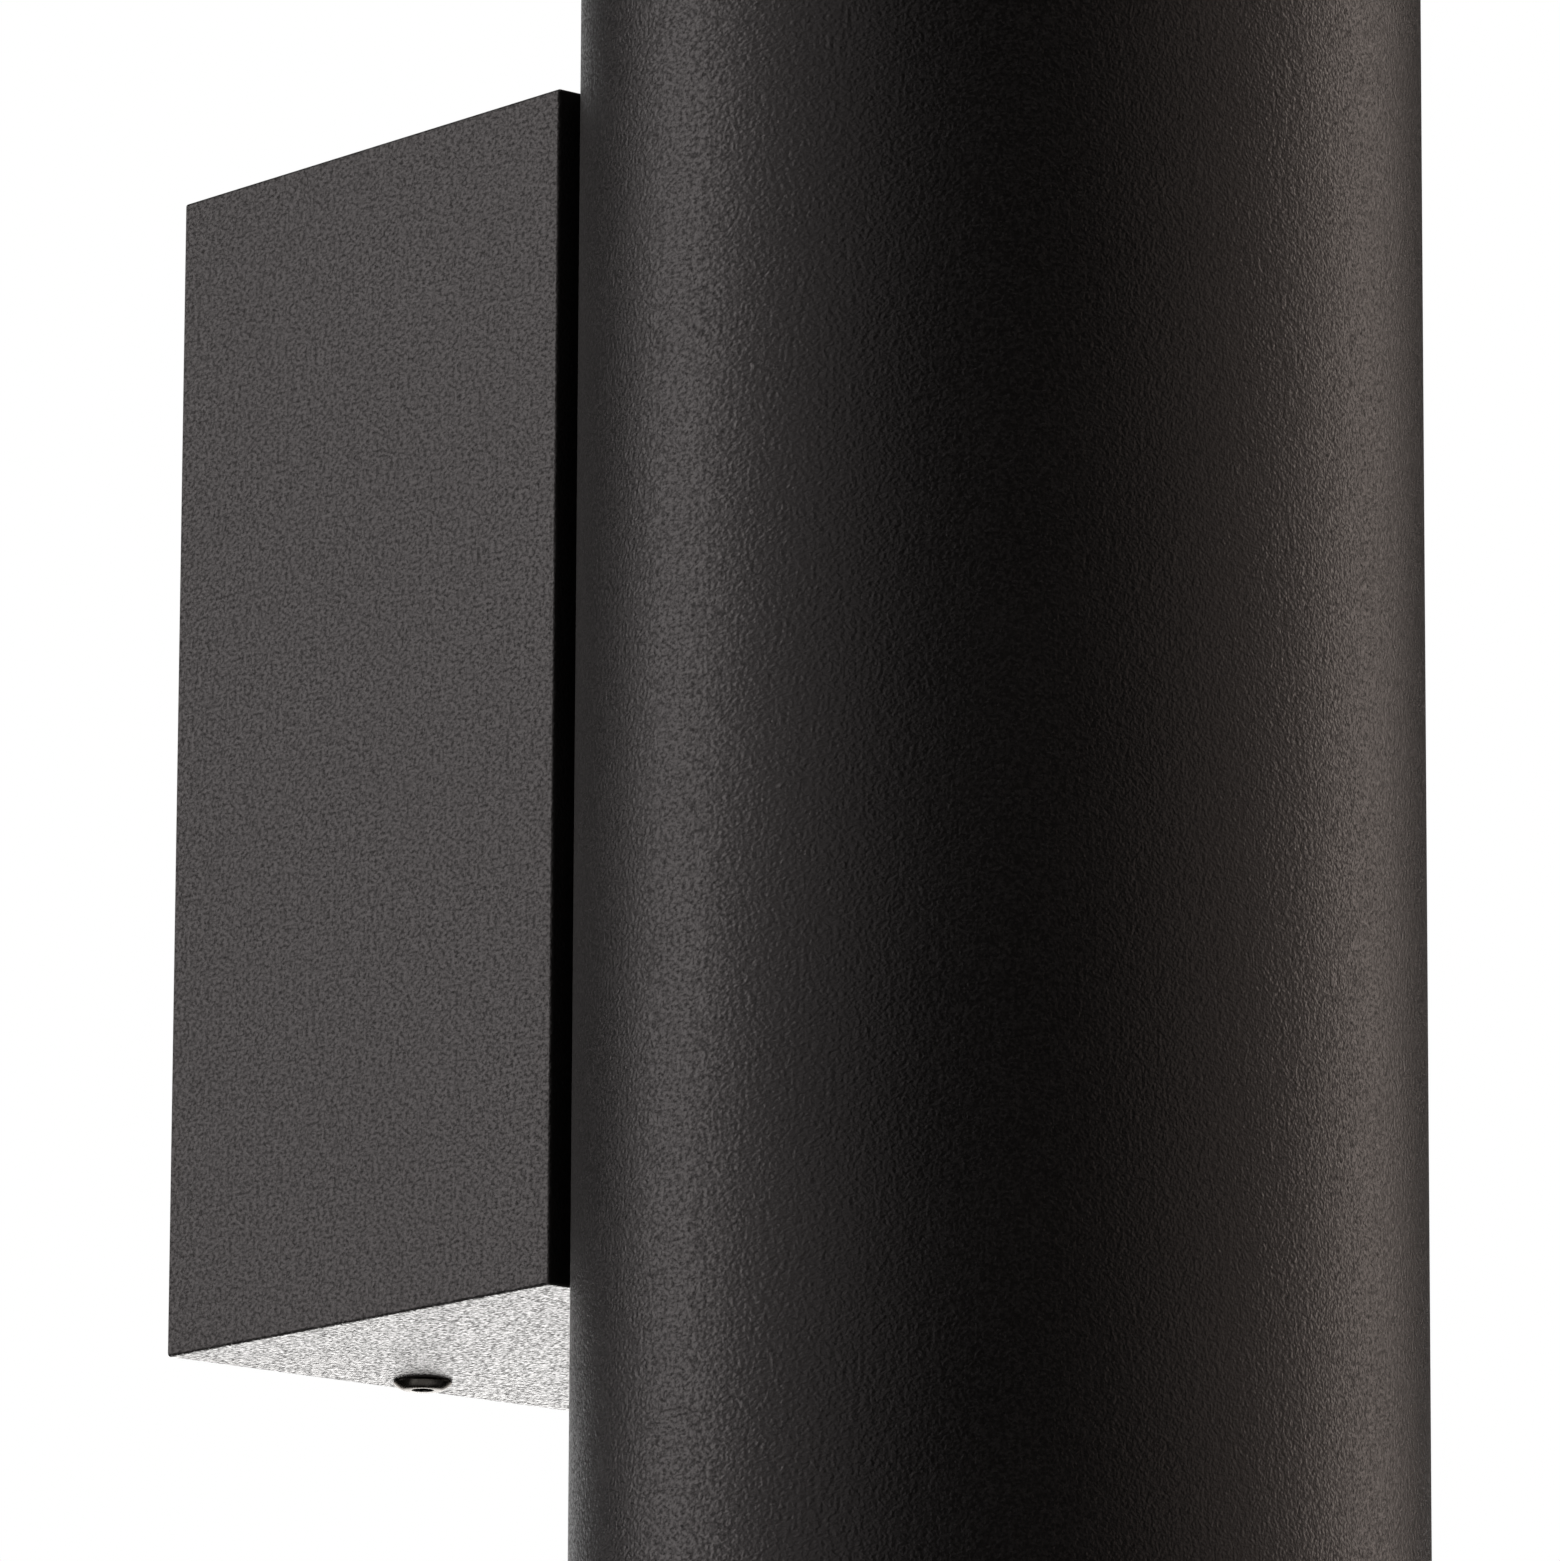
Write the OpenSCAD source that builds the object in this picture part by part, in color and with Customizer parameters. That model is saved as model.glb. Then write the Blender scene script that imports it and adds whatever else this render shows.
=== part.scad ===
// Wall lamp: an upright round tube that lights up and down, held by a
// rectangular wall box that hangs on a folded steel bracket.
// Millimetres. X runs along the wall, Y into the wall, Z up. The origin is
// on the wall plane, at the middle of the wall box's open back.

/* [Tube] */
// Outside diameter of the tube
tube_d = 80; // [78:1:92]
// Wall of the tube
tube_wall = 2; // [1.5:0.25:3]
// Length of the tube
tube_h = 300; // [280:5:420]
// Depth to which the tube nests in the front of the wall box
tube_nest = 8; // [6:0.25:9]
// Chamfer on the tube's cut ends
tube_chamfer = 0.4; // [0.2:0.1:0.6]

/* [Wall box] */
// Width of the wall box
box_w = 56; // [56:1:70]
// Height of the wall box
box_h = 116; // [114:1:150]
// Depth of the wall box from the wall to its front
box_d = 58; // [56:1:80]
// Wall of the wall box
box_wall = 2; // [1.5:0.25:2.5]
// Rounding of the wall box's outer edges
box_edge_r = 0.3; // [0.3:0.1:1]
// Height of the flat bosses inside the saddle
boss_h = 1.6; // [1.2:0.1:2.5]
// Free space between the saddle and the tube
saddle_gap = 0.1; // [0.05:0.05:0.3]

/* [Wall bracket] */
// Sheet thickness of the wall bracket
bracket_t = 1.5; // [1:0.25:2]
// Depth of the bracket's two flanges
flange_d = 12; // [10:0.5:18]
// Width of the bracket's two flanges
flange_w = 30; // [20:1:40]
// Free space beside the bracket in the wall box
bracket_side_gap = 1.5; // [1:0.25:3]
// Free space between a flange and the wall box
flange_gap = 0.25; // [0.15:0.05:0.5]
// Distance between the two wall screw slots
slot_pitch = 72; // [70:1:76]
// End-to-end length of a wall screw slot
slot_l = 14; // [10:1:15]
// Width of a wall screw slot
slot_w = 4.6; // [4:0.1:5.5]
// Drop of the cable hole below the middle
cable_drop = 15; // [14.5:0.25:16]
// Bore of the cable grommet
cable_bore = 9; // [7:0.5:10]
// Step of the raised dish round the cable hole
dish_h = 2; // [2:0.25:3]

/* [Cover screws] */
// Thread of the cover screws
cover_screw_d = 3; // [2.5:0.5:4]
// Head diameter of the cover screws
cover_head_d = 5.8; // [5.4:0.1:7]
// Head height of the cover screws
cover_head_h = 0.9; // [0.8:0.1:2]
// Length of the cover screws under the head
cover_screw_l = 8; // [7:1:10]
// Distance of the cover screws from the wall
cover_screw_y = 4.9; // [4.5:0.1:7]

/* [Lamp carrier] */
// Width of the carrier's upright web
web_w = 40; // [36:1:44]
// Sheet thickness of the carrier
carrier_t = 1.5; // [1:0.25:2]
// Distance between the two tube screws
tube_screw_pitch = 64; // [58:1:70]
// Thread of the tube screws
tube_screw_d = 4; // [3:0.5:5]
// Bore of the wire bushing
bushing_bore = 9; // [8.5:0.25:10]

/* [Lamps and holders] */
// Diameter of a lamp's face
lamp_d = 50; // [46:1:52]
// Length of a lamp above its holder
lamp_h = 50; // [48:1:56]
// Distance of a lamp's face from the end of the tube
lamp_recess = 12; // [6:1:25]
// Diameter of a holder's barrel
holder_d = 26; // [25:0.5:29]
// Height of a holder
holder_h = 18; // [17:0.5:24]
// Spacing of a lamp's two pins
pin_pitch = 10; // [9.5:0.25:10.5]
// Diameter of a pin's head
pin_head_d = 5; // [4.6:0.1:5.2]
// Diameter of a pin's stem
pin_stem_d = 3.2; // [2.8:0.1:3.6]
// Turn that releases a lamp from its holder
twist = 40; // [36:1:48]

/* [Terminal block] */
// Distance between two poles of the terminal block
pole_pitch = 12; // [11.75:0.25:12.5]
// Height of the terminal block along its wires
term_h = 16; // [15:0.5:17]
// Depth of the terminal block's base
term_base = 4.5; // [4:0.25:5]
// Outside diameter of a brass clamp
clamp_d = 6; // [5.8:0.1:6.2]
// Bore of a brass clamp
clamp_bore = 4.6; // [4.5:0.1:4.7]
// Diameter of an inner lead
lead_d = 2; // [1.6:0.1:2.1]

/* [Hidden] */
$fn = 96;
EPS = 0.01;
OVER = 1; // how far a cut runs past its solid
FIT = 0.05; // space round a shank, stem or neck in its hole
FREE = 0.15; // space round a shank in a clearance hole
SEAT = 0.3; // space between a lamp and its holder

tube_r = tube_d / 2;
tube_ir = tube_r - tube_wall;
tube_y = -(box_d + tube_r - tube_nest);
saddle_r = tube_r + saddle_gap;
saddle_in_r = saddle_r + box_wall;
boss_y = tube_y + saddle_in_r + boss_h;
tube_screw_z = tube_screw_pitch / 2;
tube_hole_r = tube_screw_d / 2 + FREE;

bracket_w = box_w - 2 * box_wall - 2 * bracket_side_gap;
bracket_h = box_h - 2 * box_wall - 2 * flange_gap;
fold_r = bracket_t + 1;
plate_corner_r = 3;
plate_end_gap = 0.5; // space between the flat plate's corners and the folds
collar_l = 1.6;
collar_wall = 1.1;
grommet_neck = cable_bore / 2 + 3.4;
grommet_lip = grommet_neck + 2.2;
grommet_lip_t = 1.8;
grommet_back = 0.4; // space between the grommet and the wall
grommet_edge = 0.4;
dish_in_r = grommet_lip + 0.6;
dish_r = dish_in_r + bracket_t;

washer_t = 0.6;
tag_t = 0.8;
tag_ring_r = 4.2;
tag_barrel_r = lead_d / 2 + 0.8;
tag_barrel_x = 5.5;
tag_barrel_l = 5;
tag_neck_x = 3;
pan_head_r = 3.8;
pan_head_h = 2.4;

web_y = sqrt(pow(tube_ir - 0.3, 2) - pow(web_w / 2, 2));
web_front = web_y - carrier_t;
nut_t = 2.6;
nut_r = 4.2;
nut_shank_r = tube_screw_d / 2 + 0.8;
spacer_side = 1; // by how much the web is wider than the spacer on each side
spacer_end = 8; // reach of the spacer past each tube screw
bushing_neck = bushing_bore / 2 + 0.9;
bushing_lip = bushing_neck + 2;
bushing_lip_t = 1.6;
bushing_nose = 1.2;
bushing_boss_r = bushing_lip + 0.8;
screw_boss_r = 5.2;

seat_z = tube_h / 2 - lamp_recess - lamp_h;
face_z = seat_z - SEAT;
shelf_z = face_z - holder_h;
shelf_r = tube_ir - 0.4;
vent_d = 4;
vent_rim = 8; // distance of the vents' middles from the shelf's rim
ear_t = 6;
ear_r = 5;
ear_x = holder_d / 2 + 4;
ear_screw_d = 3;
ear_hole_d = ear_screw_d + 2 * FREE;
ear_head_r = 2.8;
ear_head_h = 2;
ear_nut_t = 2.4;
ear_nut_w = 5.5;
lead_hole_r = holder_d / 2 - 5;

lip_t = 3.2;
pin_r = pin_pitch / 2;
head_top = lip_t + 0.5;
head_bottom = head_top + 3.2;
pocket_floor = head_bottom + 2;
slot_gap_w = pin_stem_d + 0.7;
pocket_w = pin_head_d + 0.9;
entry_d = pocket_w - 0.2;
spring_t = 0.4;
spring_w = 3;
pin_seat = 3;
base_r = holder_d / 2 - 3;
base_h = 14;
shell_r0 = base_r + 1.6;
shell_rim_h = 9;
shell_edge = 0.8;
fin_slot_w = 1.2;
fin_slot_depth = 2.2;
lens_sink = 3;
lens_dome = 1.2;
rim_w = 2.2;

wire_z = term_base + clamp_d / 2 + 0.4;
tower_w = clamp_d + 2.4;
tower_top = wire_z + clamp_d / 2 + 1.6;
chimney_top = tower_top + 3;
term_w = 2 * pole_pitch + tower_w + 0.6;
term_z = term_h / 2 + 3;
term_top = term_z + term_h / 2;
term_screw_y = term_h / 4;
term_screw_d = 3;
term_head_r = 2.1;
term_head_h = 1.8;
chimney_r = 3.2;
well_r = 2.3;
clamp_y = -(bracket_t + wire_z);
clamp_end = 0.5; // depth of the clamps' ends in the block
fix_d = 2.5;
fix_head_r = 2.3;
fix_head_h = 1.8;
fix_seat = term_base - 1.5;
twin = lead_d / 2 + 0.15;
earth_x = bracket_w / 2 - tag_ring_r - 2;
earth_z = term_top + tag_ring_r + 1.2;

MATT = [0.13, 0.125, 0.12];
STEEL = [0.72, 0.73, 0.75];
DARK_STEEL = [0.2, 0.2, 0.2];
BRASS = [0.8, 0.65, 0.35];
CERAMIC = [0.93, 0.91, 0.86];
WHITE = [0.92, 0.92, 0.9];

// Points on an arc about c, from angle a to angle b
function arc(c, r, a, b, n = 6) =
    [for (i = [0:n]) let (t = a + (b - a) * i / n) [c[0] + r * cos(t), c[1] + r * sin(t)]];

function unit(v) = v / norm(v);
function mix(a, b, t) = a + (b - a) * t;

// One point of the smooth curve through the points p, at share t of span i
function span_point(p, i, t) =
    let (a = p[max(i - 1, 0)], b = p[i], c = p[i + 1], d = p[min(i + 2, len(p) - 1)])
    0.5 * (2 * b + (c - a) * t + (2 * a - 5 * b + 4 * c - d) * t * t
        + (3 * b - a - 3 * c + d) * t * t * t);

// The smooth curve through the points p, n steps to a span
function smooth(p, n) = concat(
    [for (i = [0:len(p) - 2]) for (k = [0:n - 1]) span_point(p, i, k / n)],
    [p[len(p) - 1]]);

// Half loop of a lead that leaves a upwards and comes down on b
function half_loop(a, b, h) =
    [for (t = [0:30:180]) mix(a, b, (1 - cos(t)) / 2) + [0, 0, h * sin(t)]];

function heading(q, i) = unit(q[min(i + 1, len(q) - 1)] - q[max(i - 1, 0)]);

// Directions square to the curve q that turn with it
function sides(q) =
    [for (i = 0, t = heading(q, 0), s = unit(cross(t, [0.3, 0.9, 0.31]));
        i < len(q);
        i = i + 1, t = i < len(q) ? heading(q, i) : t, s = unit(s - (s * t) * t)) s];

// Round lead of diameter d along the curve q
module lead(q, d) {
    n = 8;
    m = len(q);
    s = sides(q);
    pts = [for (i = [0:m - 1]) let (t = heading(q, i), u = cross(t, s[i]))
        for (k = [0:n - 1]) q[i] + d / 2 * (cos(360 * k / n) * s[i] + sin(360 * k / n) * u)];
    wall = [for (i = [0:m - 2]) for (k = [0:n - 1]) let (a = i * n + k, b = i * n + (k + 1) % n)
        each [[a, a + n, b], [b, a + n, b + n]]];
    caps = [[for (k = [0:n - 1]) k], [for (k = [0:n - 1]) m * n - 1 - k]];
    polyhedron(points = pts, faces = concat(wall, caps), convexity = 6);
}

// Rectangle centred on the origin with arcs of radius r at its corners
function plate_outline(w, h, r) = concat(
    arc([w / 2 - r, h / 2 - r], r, 0, 90), arc([-w / 2 + r, h / 2 - r], r, 90, 180),
    arc([-w / 2 + r, -h / 2 + r], r, 180, 270), arc([w / 2 - r, -h / 2 + r], r, 270, 360));

// Rectangle from y = 0 forward to y = -d, with its two front corners rounded
function front_outline(w, d, r) = concat(
    [[w / 2, 0], [-w / 2, 0]],
    arc([-w / 2 + r, -d + r], r, 180, 270), arc([w / 2 - r, -d + r], r, 270, 360));

// Children in the tube's frame: the tube's middle, Y towards the wall
module at_tube() {
    translate([0, tube_y, 0]) children();
}

// Children in the frame of the upper lamp, with z = 0 at the holder's face
module at_upper() {
    at_tube() translate([0, 0, face_z]) children();
}

// The same for the lower lamp, which is turned over about X
module at_lower() {
    at_tube() rotate([180, 0, 0]) translate([0, 0, face_z]) children();
}

// Children stand on the bracket's front face, z pointing away from the wall
module on_bracket(x, z) {
    translate([x, -bracket_t, z]) rotate([90, 0, 0]) children();
}

// Cylinder along Y from y0 to y1
module bar_y(r, y0, y1) {
    translate([0, y0, 0]) rotate([-90, 0, 0]) cylinder(r = r, h = y1 - y0);
}

// Children at the two tube screws
module at_tube_screws() {
    for (s = [-1, 1]) translate([0, 0, s * tube_screw_z]) children();
}

// Tube

module tube() {
    h = tube_h / 2;
    c = tube_chamfer;
    color(MATT)
    at_tube() difference() {
        rotate_extrude($fn = 180) polygon([
            [tube_ir, -h + c], [tube_ir + c, -h], [tube_r - c, -h], [tube_r, -h + c],
            [tube_r, h - c], [tube_r - c, h], [tube_ir + c, h], [tube_ir, h - c]
        ]);
        at_tube_screws() bar_y(tube_hole_r, web_y, tube_r + OVER);
        bar_y(bushing_neck + FIT, web_y, tube_r + OVER);
    }
}

// Wall box

module box_outer() {
    intersection() {
        linear_extrude(box_h, center = true) polygon(front_outline(box_w, box_d, box_edge_r));
        rotate([0, 90, 0]) linear_extrude(box_w + 2 * OVER, center = true)
            polygon(front_outline(box_h, box_d, box_edge_r));
        translate([0, OVER, 0]) rotate([90, 0, 0]) linear_extrude(box_d + 2 * OVER)
            polygon(plate_outline(box_w, box_h, box_edge_r));
    }
}

module box_cavity() {
    linear_extrude(box_h - 2 * box_wall, center = true) difference() {
        translate([-box_w / 2 + box_wall, -box_d + box_wall])
            square([box_w - 2 * box_wall, box_d - box_wall + OVER]);
        translate([0, tube_y]) circle(r = saddle_in_r, $fn = 180);
    }
}

module wall_box() {
    saddle_front = boss_y - boss_h - box_wall;
    color(MATT)
    difference() {
        union() {
            difference() {
                box_outer();
                box_cavity();
            }
            at_tube_screws() bar_y(screw_boss_r, saddle_front, boss_y);
            bar_y(bushing_boss_r, saddle_front, boss_y);
        }
        translate([0, tube_y, -box_h / 2 - OVER])
            cylinder(r = saddle_r, h = box_h + 2 * OVER, $fn = 180);
        at_tube_screws() bar_y(tube_hole_r, saddle_front - OVER, boss_y + OVER);
        bar_y(bushing_neck + FIT, saddle_front - OVER, boss_y + OVER);
        translate([0, -cover_screw_y, -box_h / 2 - OVER])
            cylinder(d = cover_screw_d + 2 * FREE, h = box_h + 2 * OVER);
    }
}

// Wall bracket

// Folded section of the bracket in Y and Z, drawn as X = -Y and Y = Z
function fold_section() = let (h = bracket_h / 2, ri = fold_r - bracket_t) concat(
    [[flange_d, h - bracket_t], [flange_d, h]], arc([fold_r, h - fold_r], fold_r, 90, 180),
    arc([fold_r, -h + fold_r], fold_r, 180, 270), [[flange_d, -h], [flange_d, -h + bracket_t]],
    arc([fold_r, -h + fold_r], ri, 270, 180), arc([fold_r, h - fold_r], ri, 180, 90));

module wall_slot() {
    straight = slot_l - slot_w;
    translate([-slot_w / 2, -bracket_t - OVER, -straight / 2])
        cube([slot_w, bracket_t + 2 * OVER, straight]);
    for (s = [-1, 1]) translate([0, 0, s * straight / 2])
        bar_y(slot_w / 2, -bracket_t - OVER, OVER);
}

module wall_bracket() {
    collar_r = cover_screw_d / 2 + collar_wall;
    collar_z = bracket_h / 2 - bracket_t - collar_l;
    color(STEEL)
    difference() {
        union() {
            rotate([90, 0, 0]) linear_extrude(bracket_t)
                polygon(plate_outline(bracket_w, bracket_h - 2 * (fold_r + plate_end_gap), plate_corner_r));
            translate([flange_w / 2, 0, 0]) rotate([0, 0, 180]) rotate([90, 0, 90])
                linear_extrude(flange_w) polygon(fold_section());
            translate([0, 0, -cable_drop]) bar_y(dish_r, -bracket_t - dish_h, -bracket_t / 2);
            for (s = [0, 1]) mirror([0, 0, s]) translate([0, -cover_screw_y, collar_z])
                cylinder(r = collar_r, h = collar_l + bracket_t / 2);
        }
        translate([0, 0, -cable_drop]) {
            bar_y(dish_in_r, -dish_h, OVER);
            bar_y(grommet_neck + FIT, -bracket_t - dish_h - OVER, OVER);
        }
        for (s = [-1, 1]) translate([0, 0, s * slot_pitch / 2]) wall_slot();
        translate([0, -cover_screw_y, -bracket_h / 2 - OVER])
            cylinder(d = cover_screw_d + 2 * FIT, h = bracket_h + 2 * OVER);
        for (s = [-1, 1]) translate([s * pole_pitch / 2, 0, term_z])
            bar_y(fix_d / 2 + FIT, -bracket_t - OVER, OVER);
        translate([earth_x, 0, earth_z]) bar_y(tube_screw_d / 2 + FIT, -bracket_t - OVER, OVER);
    }
}

// Screws, nuts and washers

// Button head screw with a hexagon socket, head up, seat at z = 0
module button_screw(d, l, head_d, head_h) {
    flat_r = head_d * 0.33;
    head_r = head_d / 2;
    edge = head_h * 0.18;
    difference() {
        union() {
            rotate_extrude() polygon(concat(
                [[0, 0], [head_r, 0]],
                [for (t = [0:10:90])
                    [flat_r + (head_r - flat_r) * cos(t), edge + (head_h - edge) * sin(t)]],
                [[0, head_h]]));
            translate([0, 0, -l]) cylinder(d = d, h = l + EPS);
        }
        translate([0, 0, head_h * 0.35]) cylinder(d = d * 0.75, h = head_h, $fn = 6);
    }
}

// Pan head screw with a cross slot, head up, seat at z = 0
module pan_screw(d, l, head_r, head_h) {
    slot = head_r * 0.26;
    round_r = head_h * 0.55;
    difference() {
        union() {
            rotate_extrude() polygon(concat(
                [[0, 0], [head_r, 0]],
                arc([head_r - round_r, head_h - round_r], round_r, 0, 90), [[0, head_h]]));
            translate([0, 0, -l]) cylinder(d = d, h = l + EPS);
        }
        for (a = [0, 90]) rotate(a) translate([-head_r * 0.55, -slot / 2, head_h * 0.4])
            cube([head_r * 1.1, slot, head_h]);
    }
}

module cover_screws() {
    color(DARK_STEEL)
    for (s = [0, 1]) mirror([0, 0, s]) translate([0, -cover_screw_y, box_h / 2])
        button_screw(cover_screw_d, cover_screw_l, cover_head_d, cover_head_h);
}

// Where the head of the upper (1) or lower (-1) tube screw seats: over the
// boss come the earth tag, on the upper screw only, and the lock washer
function washer_y(s) = boss_y + (s > 0 ? tag_t : 0);

module tube_screws() {
    nut_front = tube_y + web_front - nut_t;
    color(STEEL)
    for (s = [-1, 1]) {
        seat = washer_y(s) + washer_t;
        translate([0, seat, s * tube_screw_z]) rotate([-90, 0, 0])
            pan_screw(tube_screw_d, seat - nut_front, pan_head_r, pan_head_h);
    }
}

// Washer with eight teeth round its outside, seat at z = 0
module toothed_washer(bore_r, out_r, t) {
    notch = 0.7;
    difference() {
        cylinder(r = out_r, h = t);
        translate([0, 0, -OVER]) cylinder(r = bore_r, h = t + 2 * OVER);
        for (a = [0:45:315]) rotate(a) translate([out_r - notch, -notch / 2, -OVER])
            cube([notch + OVER, notch, t + 2 * OVER]);
    }
}

module lock_washers() {
    color(STEEL)
    for (s = [-1, 1]) translate([0, washer_y(s), s * tube_screw_z]) rotate([-90, 0, 0])
        toothed_washer(tube_hole_r, pan_head_r, washer_t);
}

module clinch_nuts() {
    color(STEEL)
    at_tube() at_tube_screws() difference() {
        union() {
            bar_y(nut_r, web_front - nut_t, web_front);
            bar_y(nut_shank_r, web_front - EPS, web_y);
        }
        bar_y(tube_screw_d / 2 + FIT, web_front - nut_t - OVER, web_y + OVER);
    }
}

// Spacer between the flat web and the round tube

module saddle_spacer() {
    w = web_w - 2 * spacer_side;
    h = tube_screw_pitch + 2 * spacer_end;
    color(STEEL)
    at_tube() difference() {
        translate([0, 0, -h / 2]) intersection() {
            cylinder(r = tube_ir - saddle_gap, h = h, $fn = 180);
            translate([-w / 2, web_y, -OVER]) cube([w, tube_r, h + 2 * OVER]);
        }
        at_tube_screws() bar_y(tube_hole_r, web_y - OVER, tube_r);
        bar_y(bushing_neck + FIT, web_y - OVER, tube_r);
    }
}

// Lamp carrier: an upright web folded into a round shelf at each end

// Children once as they are and once upside down about the middle
module both_ends() {
    for (s = [0, 1]) mirror([0, 0, s]) children();
}

// Fold between web and shelf, drawn with X = local Y and Y = Z
function carrier_fold() = let (ri = fold_r - carrier_t, z = shelf_z) concat(
    arc([web_y - fold_r, z - fold_r], fold_r, 0, 90), arc([web_y - fold_r, z - fold_r], ri, 90, 0));

module lamp_carrier() {
    web_top = shelf_z - fold_r;
    color(MATT)
    at_tube() difference() {
        union() {
            translate([-web_w / 2, web_front, -web_top]) cube([web_w, carrier_t, 2 * web_top]);
            both_ends() {
                rotate([90, 0, 90]) linear_extrude(web_w, center = true) polygon(carrier_fold());
                translate([0, 0, shelf_z - carrier_t]) intersection() {
                    cylinder(r = shelf_r, h = carrier_t, $fn = 180);
                    translate([-tube_r, -tube_r, -OVER])
                        cube([tube_d, tube_r + web_y - fold_r, carrier_t + 2 * OVER]);
                }
            }
        }
        both_ends() translate([0, 0, shelf_z - carrier_t - OVER]) {
            cylinder(r = lead_hole_r, h = carrier_t + 2 * OVER);
            at_ears() cylinder(d = ear_hole_d, h = carrier_t + 2 * OVER);
            for (a = [-50:25:50]) for (s = [0, 180]) rotate(a + s)
                translate([shelf_r - vent_rim, 0, 0]) cylinder(d = vent_d, h = carrier_t + 2 * OVER);
        }
        at_tube_screws() bar_y(nut_shank_r + FIT, web_front - OVER, web_y + OVER);
        bar_y(bushing_neck + FIT, web_front - OVER, web_y + OVER);
    }
}

// Bushings for the wires

module wire_bushing() {
    front = tube_y + web_front - bushing_nose;
    top = boss_y + bushing_lip_t;
    half = bushing_lip_t / 2;
    color([0.08, 0.08, 0.08])
    rotate([-90, 0, 0]) rotate_extrude() polygon([
        [bushing_bore / 2, front], [bushing_neck - 0.5, front], [bushing_neck, front + bushing_nose],
        [bushing_neck, boss_y], [bushing_lip, boss_y], [bushing_lip, top - half],
        [bushing_lip - half, top], [bushing_bore / 2 + half, top], [bushing_bore / 2, top - half]
    ]);
}

module cable_grommet() {
    back = -grommet_back;
    groove_a = -dish_h;
    groove_b = -dish_h - bracket_t;
    front = groove_b - grommet_lip_t;
    half = grommet_lip_t / 2;
    color([0.06, 0.06, 0.06])
    translate([0, 0, -cable_drop]) rotate([-90, 0, 0]) rotate_extrude() polygon([
        [cable_bore / 2, back], [grommet_lip - grommet_edge, back], [grommet_lip, back - grommet_edge],
        [grommet_lip, groove_a], [grommet_neck, groove_a], [grommet_neck, groove_b],
        [grommet_lip, groove_b], [grommet_lip, front + half], [grommet_lip - half, front],
        [cable_bore / 2, front]
    ]);
}

// Twist-lock lamp holders

// Curved slot of width w round the lamp's axis, from angle 0 to the twist
function curved_slot(w) = concat(
    arc([0, 0], pin_r + w / 2, 0, twist, 8),
    arc(pin_r * [cos(twist), sin(twist)], w / 2, twist + 10, twist + 170, 16),
    arc([0, 0], pin_r - w / 2, twist, 0, 8),
    arc([pin_r, 0], w / 2, 190, 350, 16));

module slot_cut(w, z0, z1) {
    translate([0, 0, z0]) linear_extrude(z1 - z0) polygon(curved_slot(w));
}

// Holder, face at z = 0, with a keyhole slot and a pocket for each pin
module holder() {
    r = holder_d / 2;
    edge = 0.8;
    color(CERAMIC)
    difference() {
        union() {
            rotate_extrude() polygon([[0, -holder_h], [r, -holder_h], [r, -edge], [r - edge, 0], [0, 0]]);
            translate([0, 0, -holder_h]) linear_extrude(ear_t) {
                square([2 * ear_r, 2 * ear_x], center = true);
                for (s = [-1, 1]) translate([0, s * ear_x]) circle(r = ear_r);
            }
        }
        for (a = [0, 180]) rotate(a) {
            slot_cut(slot_gap_w, -lip_t - OVER, OVER);
            slot_cut(pocket_w, -pocket_floor, -lip_t);
            rotate(twist) translate([pin_r, 0, -lip_t - OVER / 2]) cylinder(d = entry_d, h = lip_t + OVER);
            translate([pin_r, 0, -holder_h - OVER])
                cylinder(d = lead_d + 4 * FREE, h = holder_h - pocket_floor + 2 * OVER);
        }
        translate([0, 0, -holder_h - OVER]) at_ears()
            cylinder(d = ear_hole_d, h = ear_t + 2 * OVER);
    }
}

// Bowed spring strips on the pocket floors, under the heads of the pins
module contact_springs() {
    chord = pocket_w / 2 - 0.45;
    rise = pocket_floor - head_bottom - SEAT;
    r = (chord * chord + rise * rise) / (2 * rise);
    half = asin(chord / r);
    color(BRASS)
    for (a = [0, 180]) rotate(a) translate([pin_r, 0, -pocket_floor + rise - r])
        rotate([90, 0, 90]) linear_extrude(spring_w, center = true)
            intersection() {
                polygon(concat(arc([0, 0], r, 90 - half, 90 + half, 12),
                    arc([0, 0], r - spring_t, 90 + half, 90 - half, 12)));
                translate([-chord, r - rise + EPS]) square([2 * chord, rise]);
            }
}

module at_ears() {
    for (s = [-1, 1]) translate([0, s * ear_x, 0]) children();
}

module holder_fasteners(part) {
    under = -holder_h - carrier_t;
    at_ears() {
        if (part == "screw") translate([0, 0, -holder_h + ear_t])
            pan_screw(ear_screw_d, ear_t + carrier_t + ear_nut_t + 1, ear_head_r, ear_head_h);
        if (part == "nut") translate([0, 0, under - ear_nut_t]) difference() {
            cylinder(d = ear_nut_w / cos(30), h = ear_nut_t, $fn = 6);
            translate([0, 0, -OVER]) cylinder(d = ear_screw_d + 2 * FIT, h = ear_nut_t + 2 * OVER);
        }
    }
}

module holder_screws() {
    color(STEEL) {
        at_upper() holder_fasteners("screw");
        at_lower() holder_fasteners("screw");
    }
}

module holder_nuts() {
    color(STEEL) {
        at_upper() holder_fasteners("nut");
        at_lower() holder_fasteners("nut");
    }
}

// Reflector lamps with two headed pins

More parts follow.
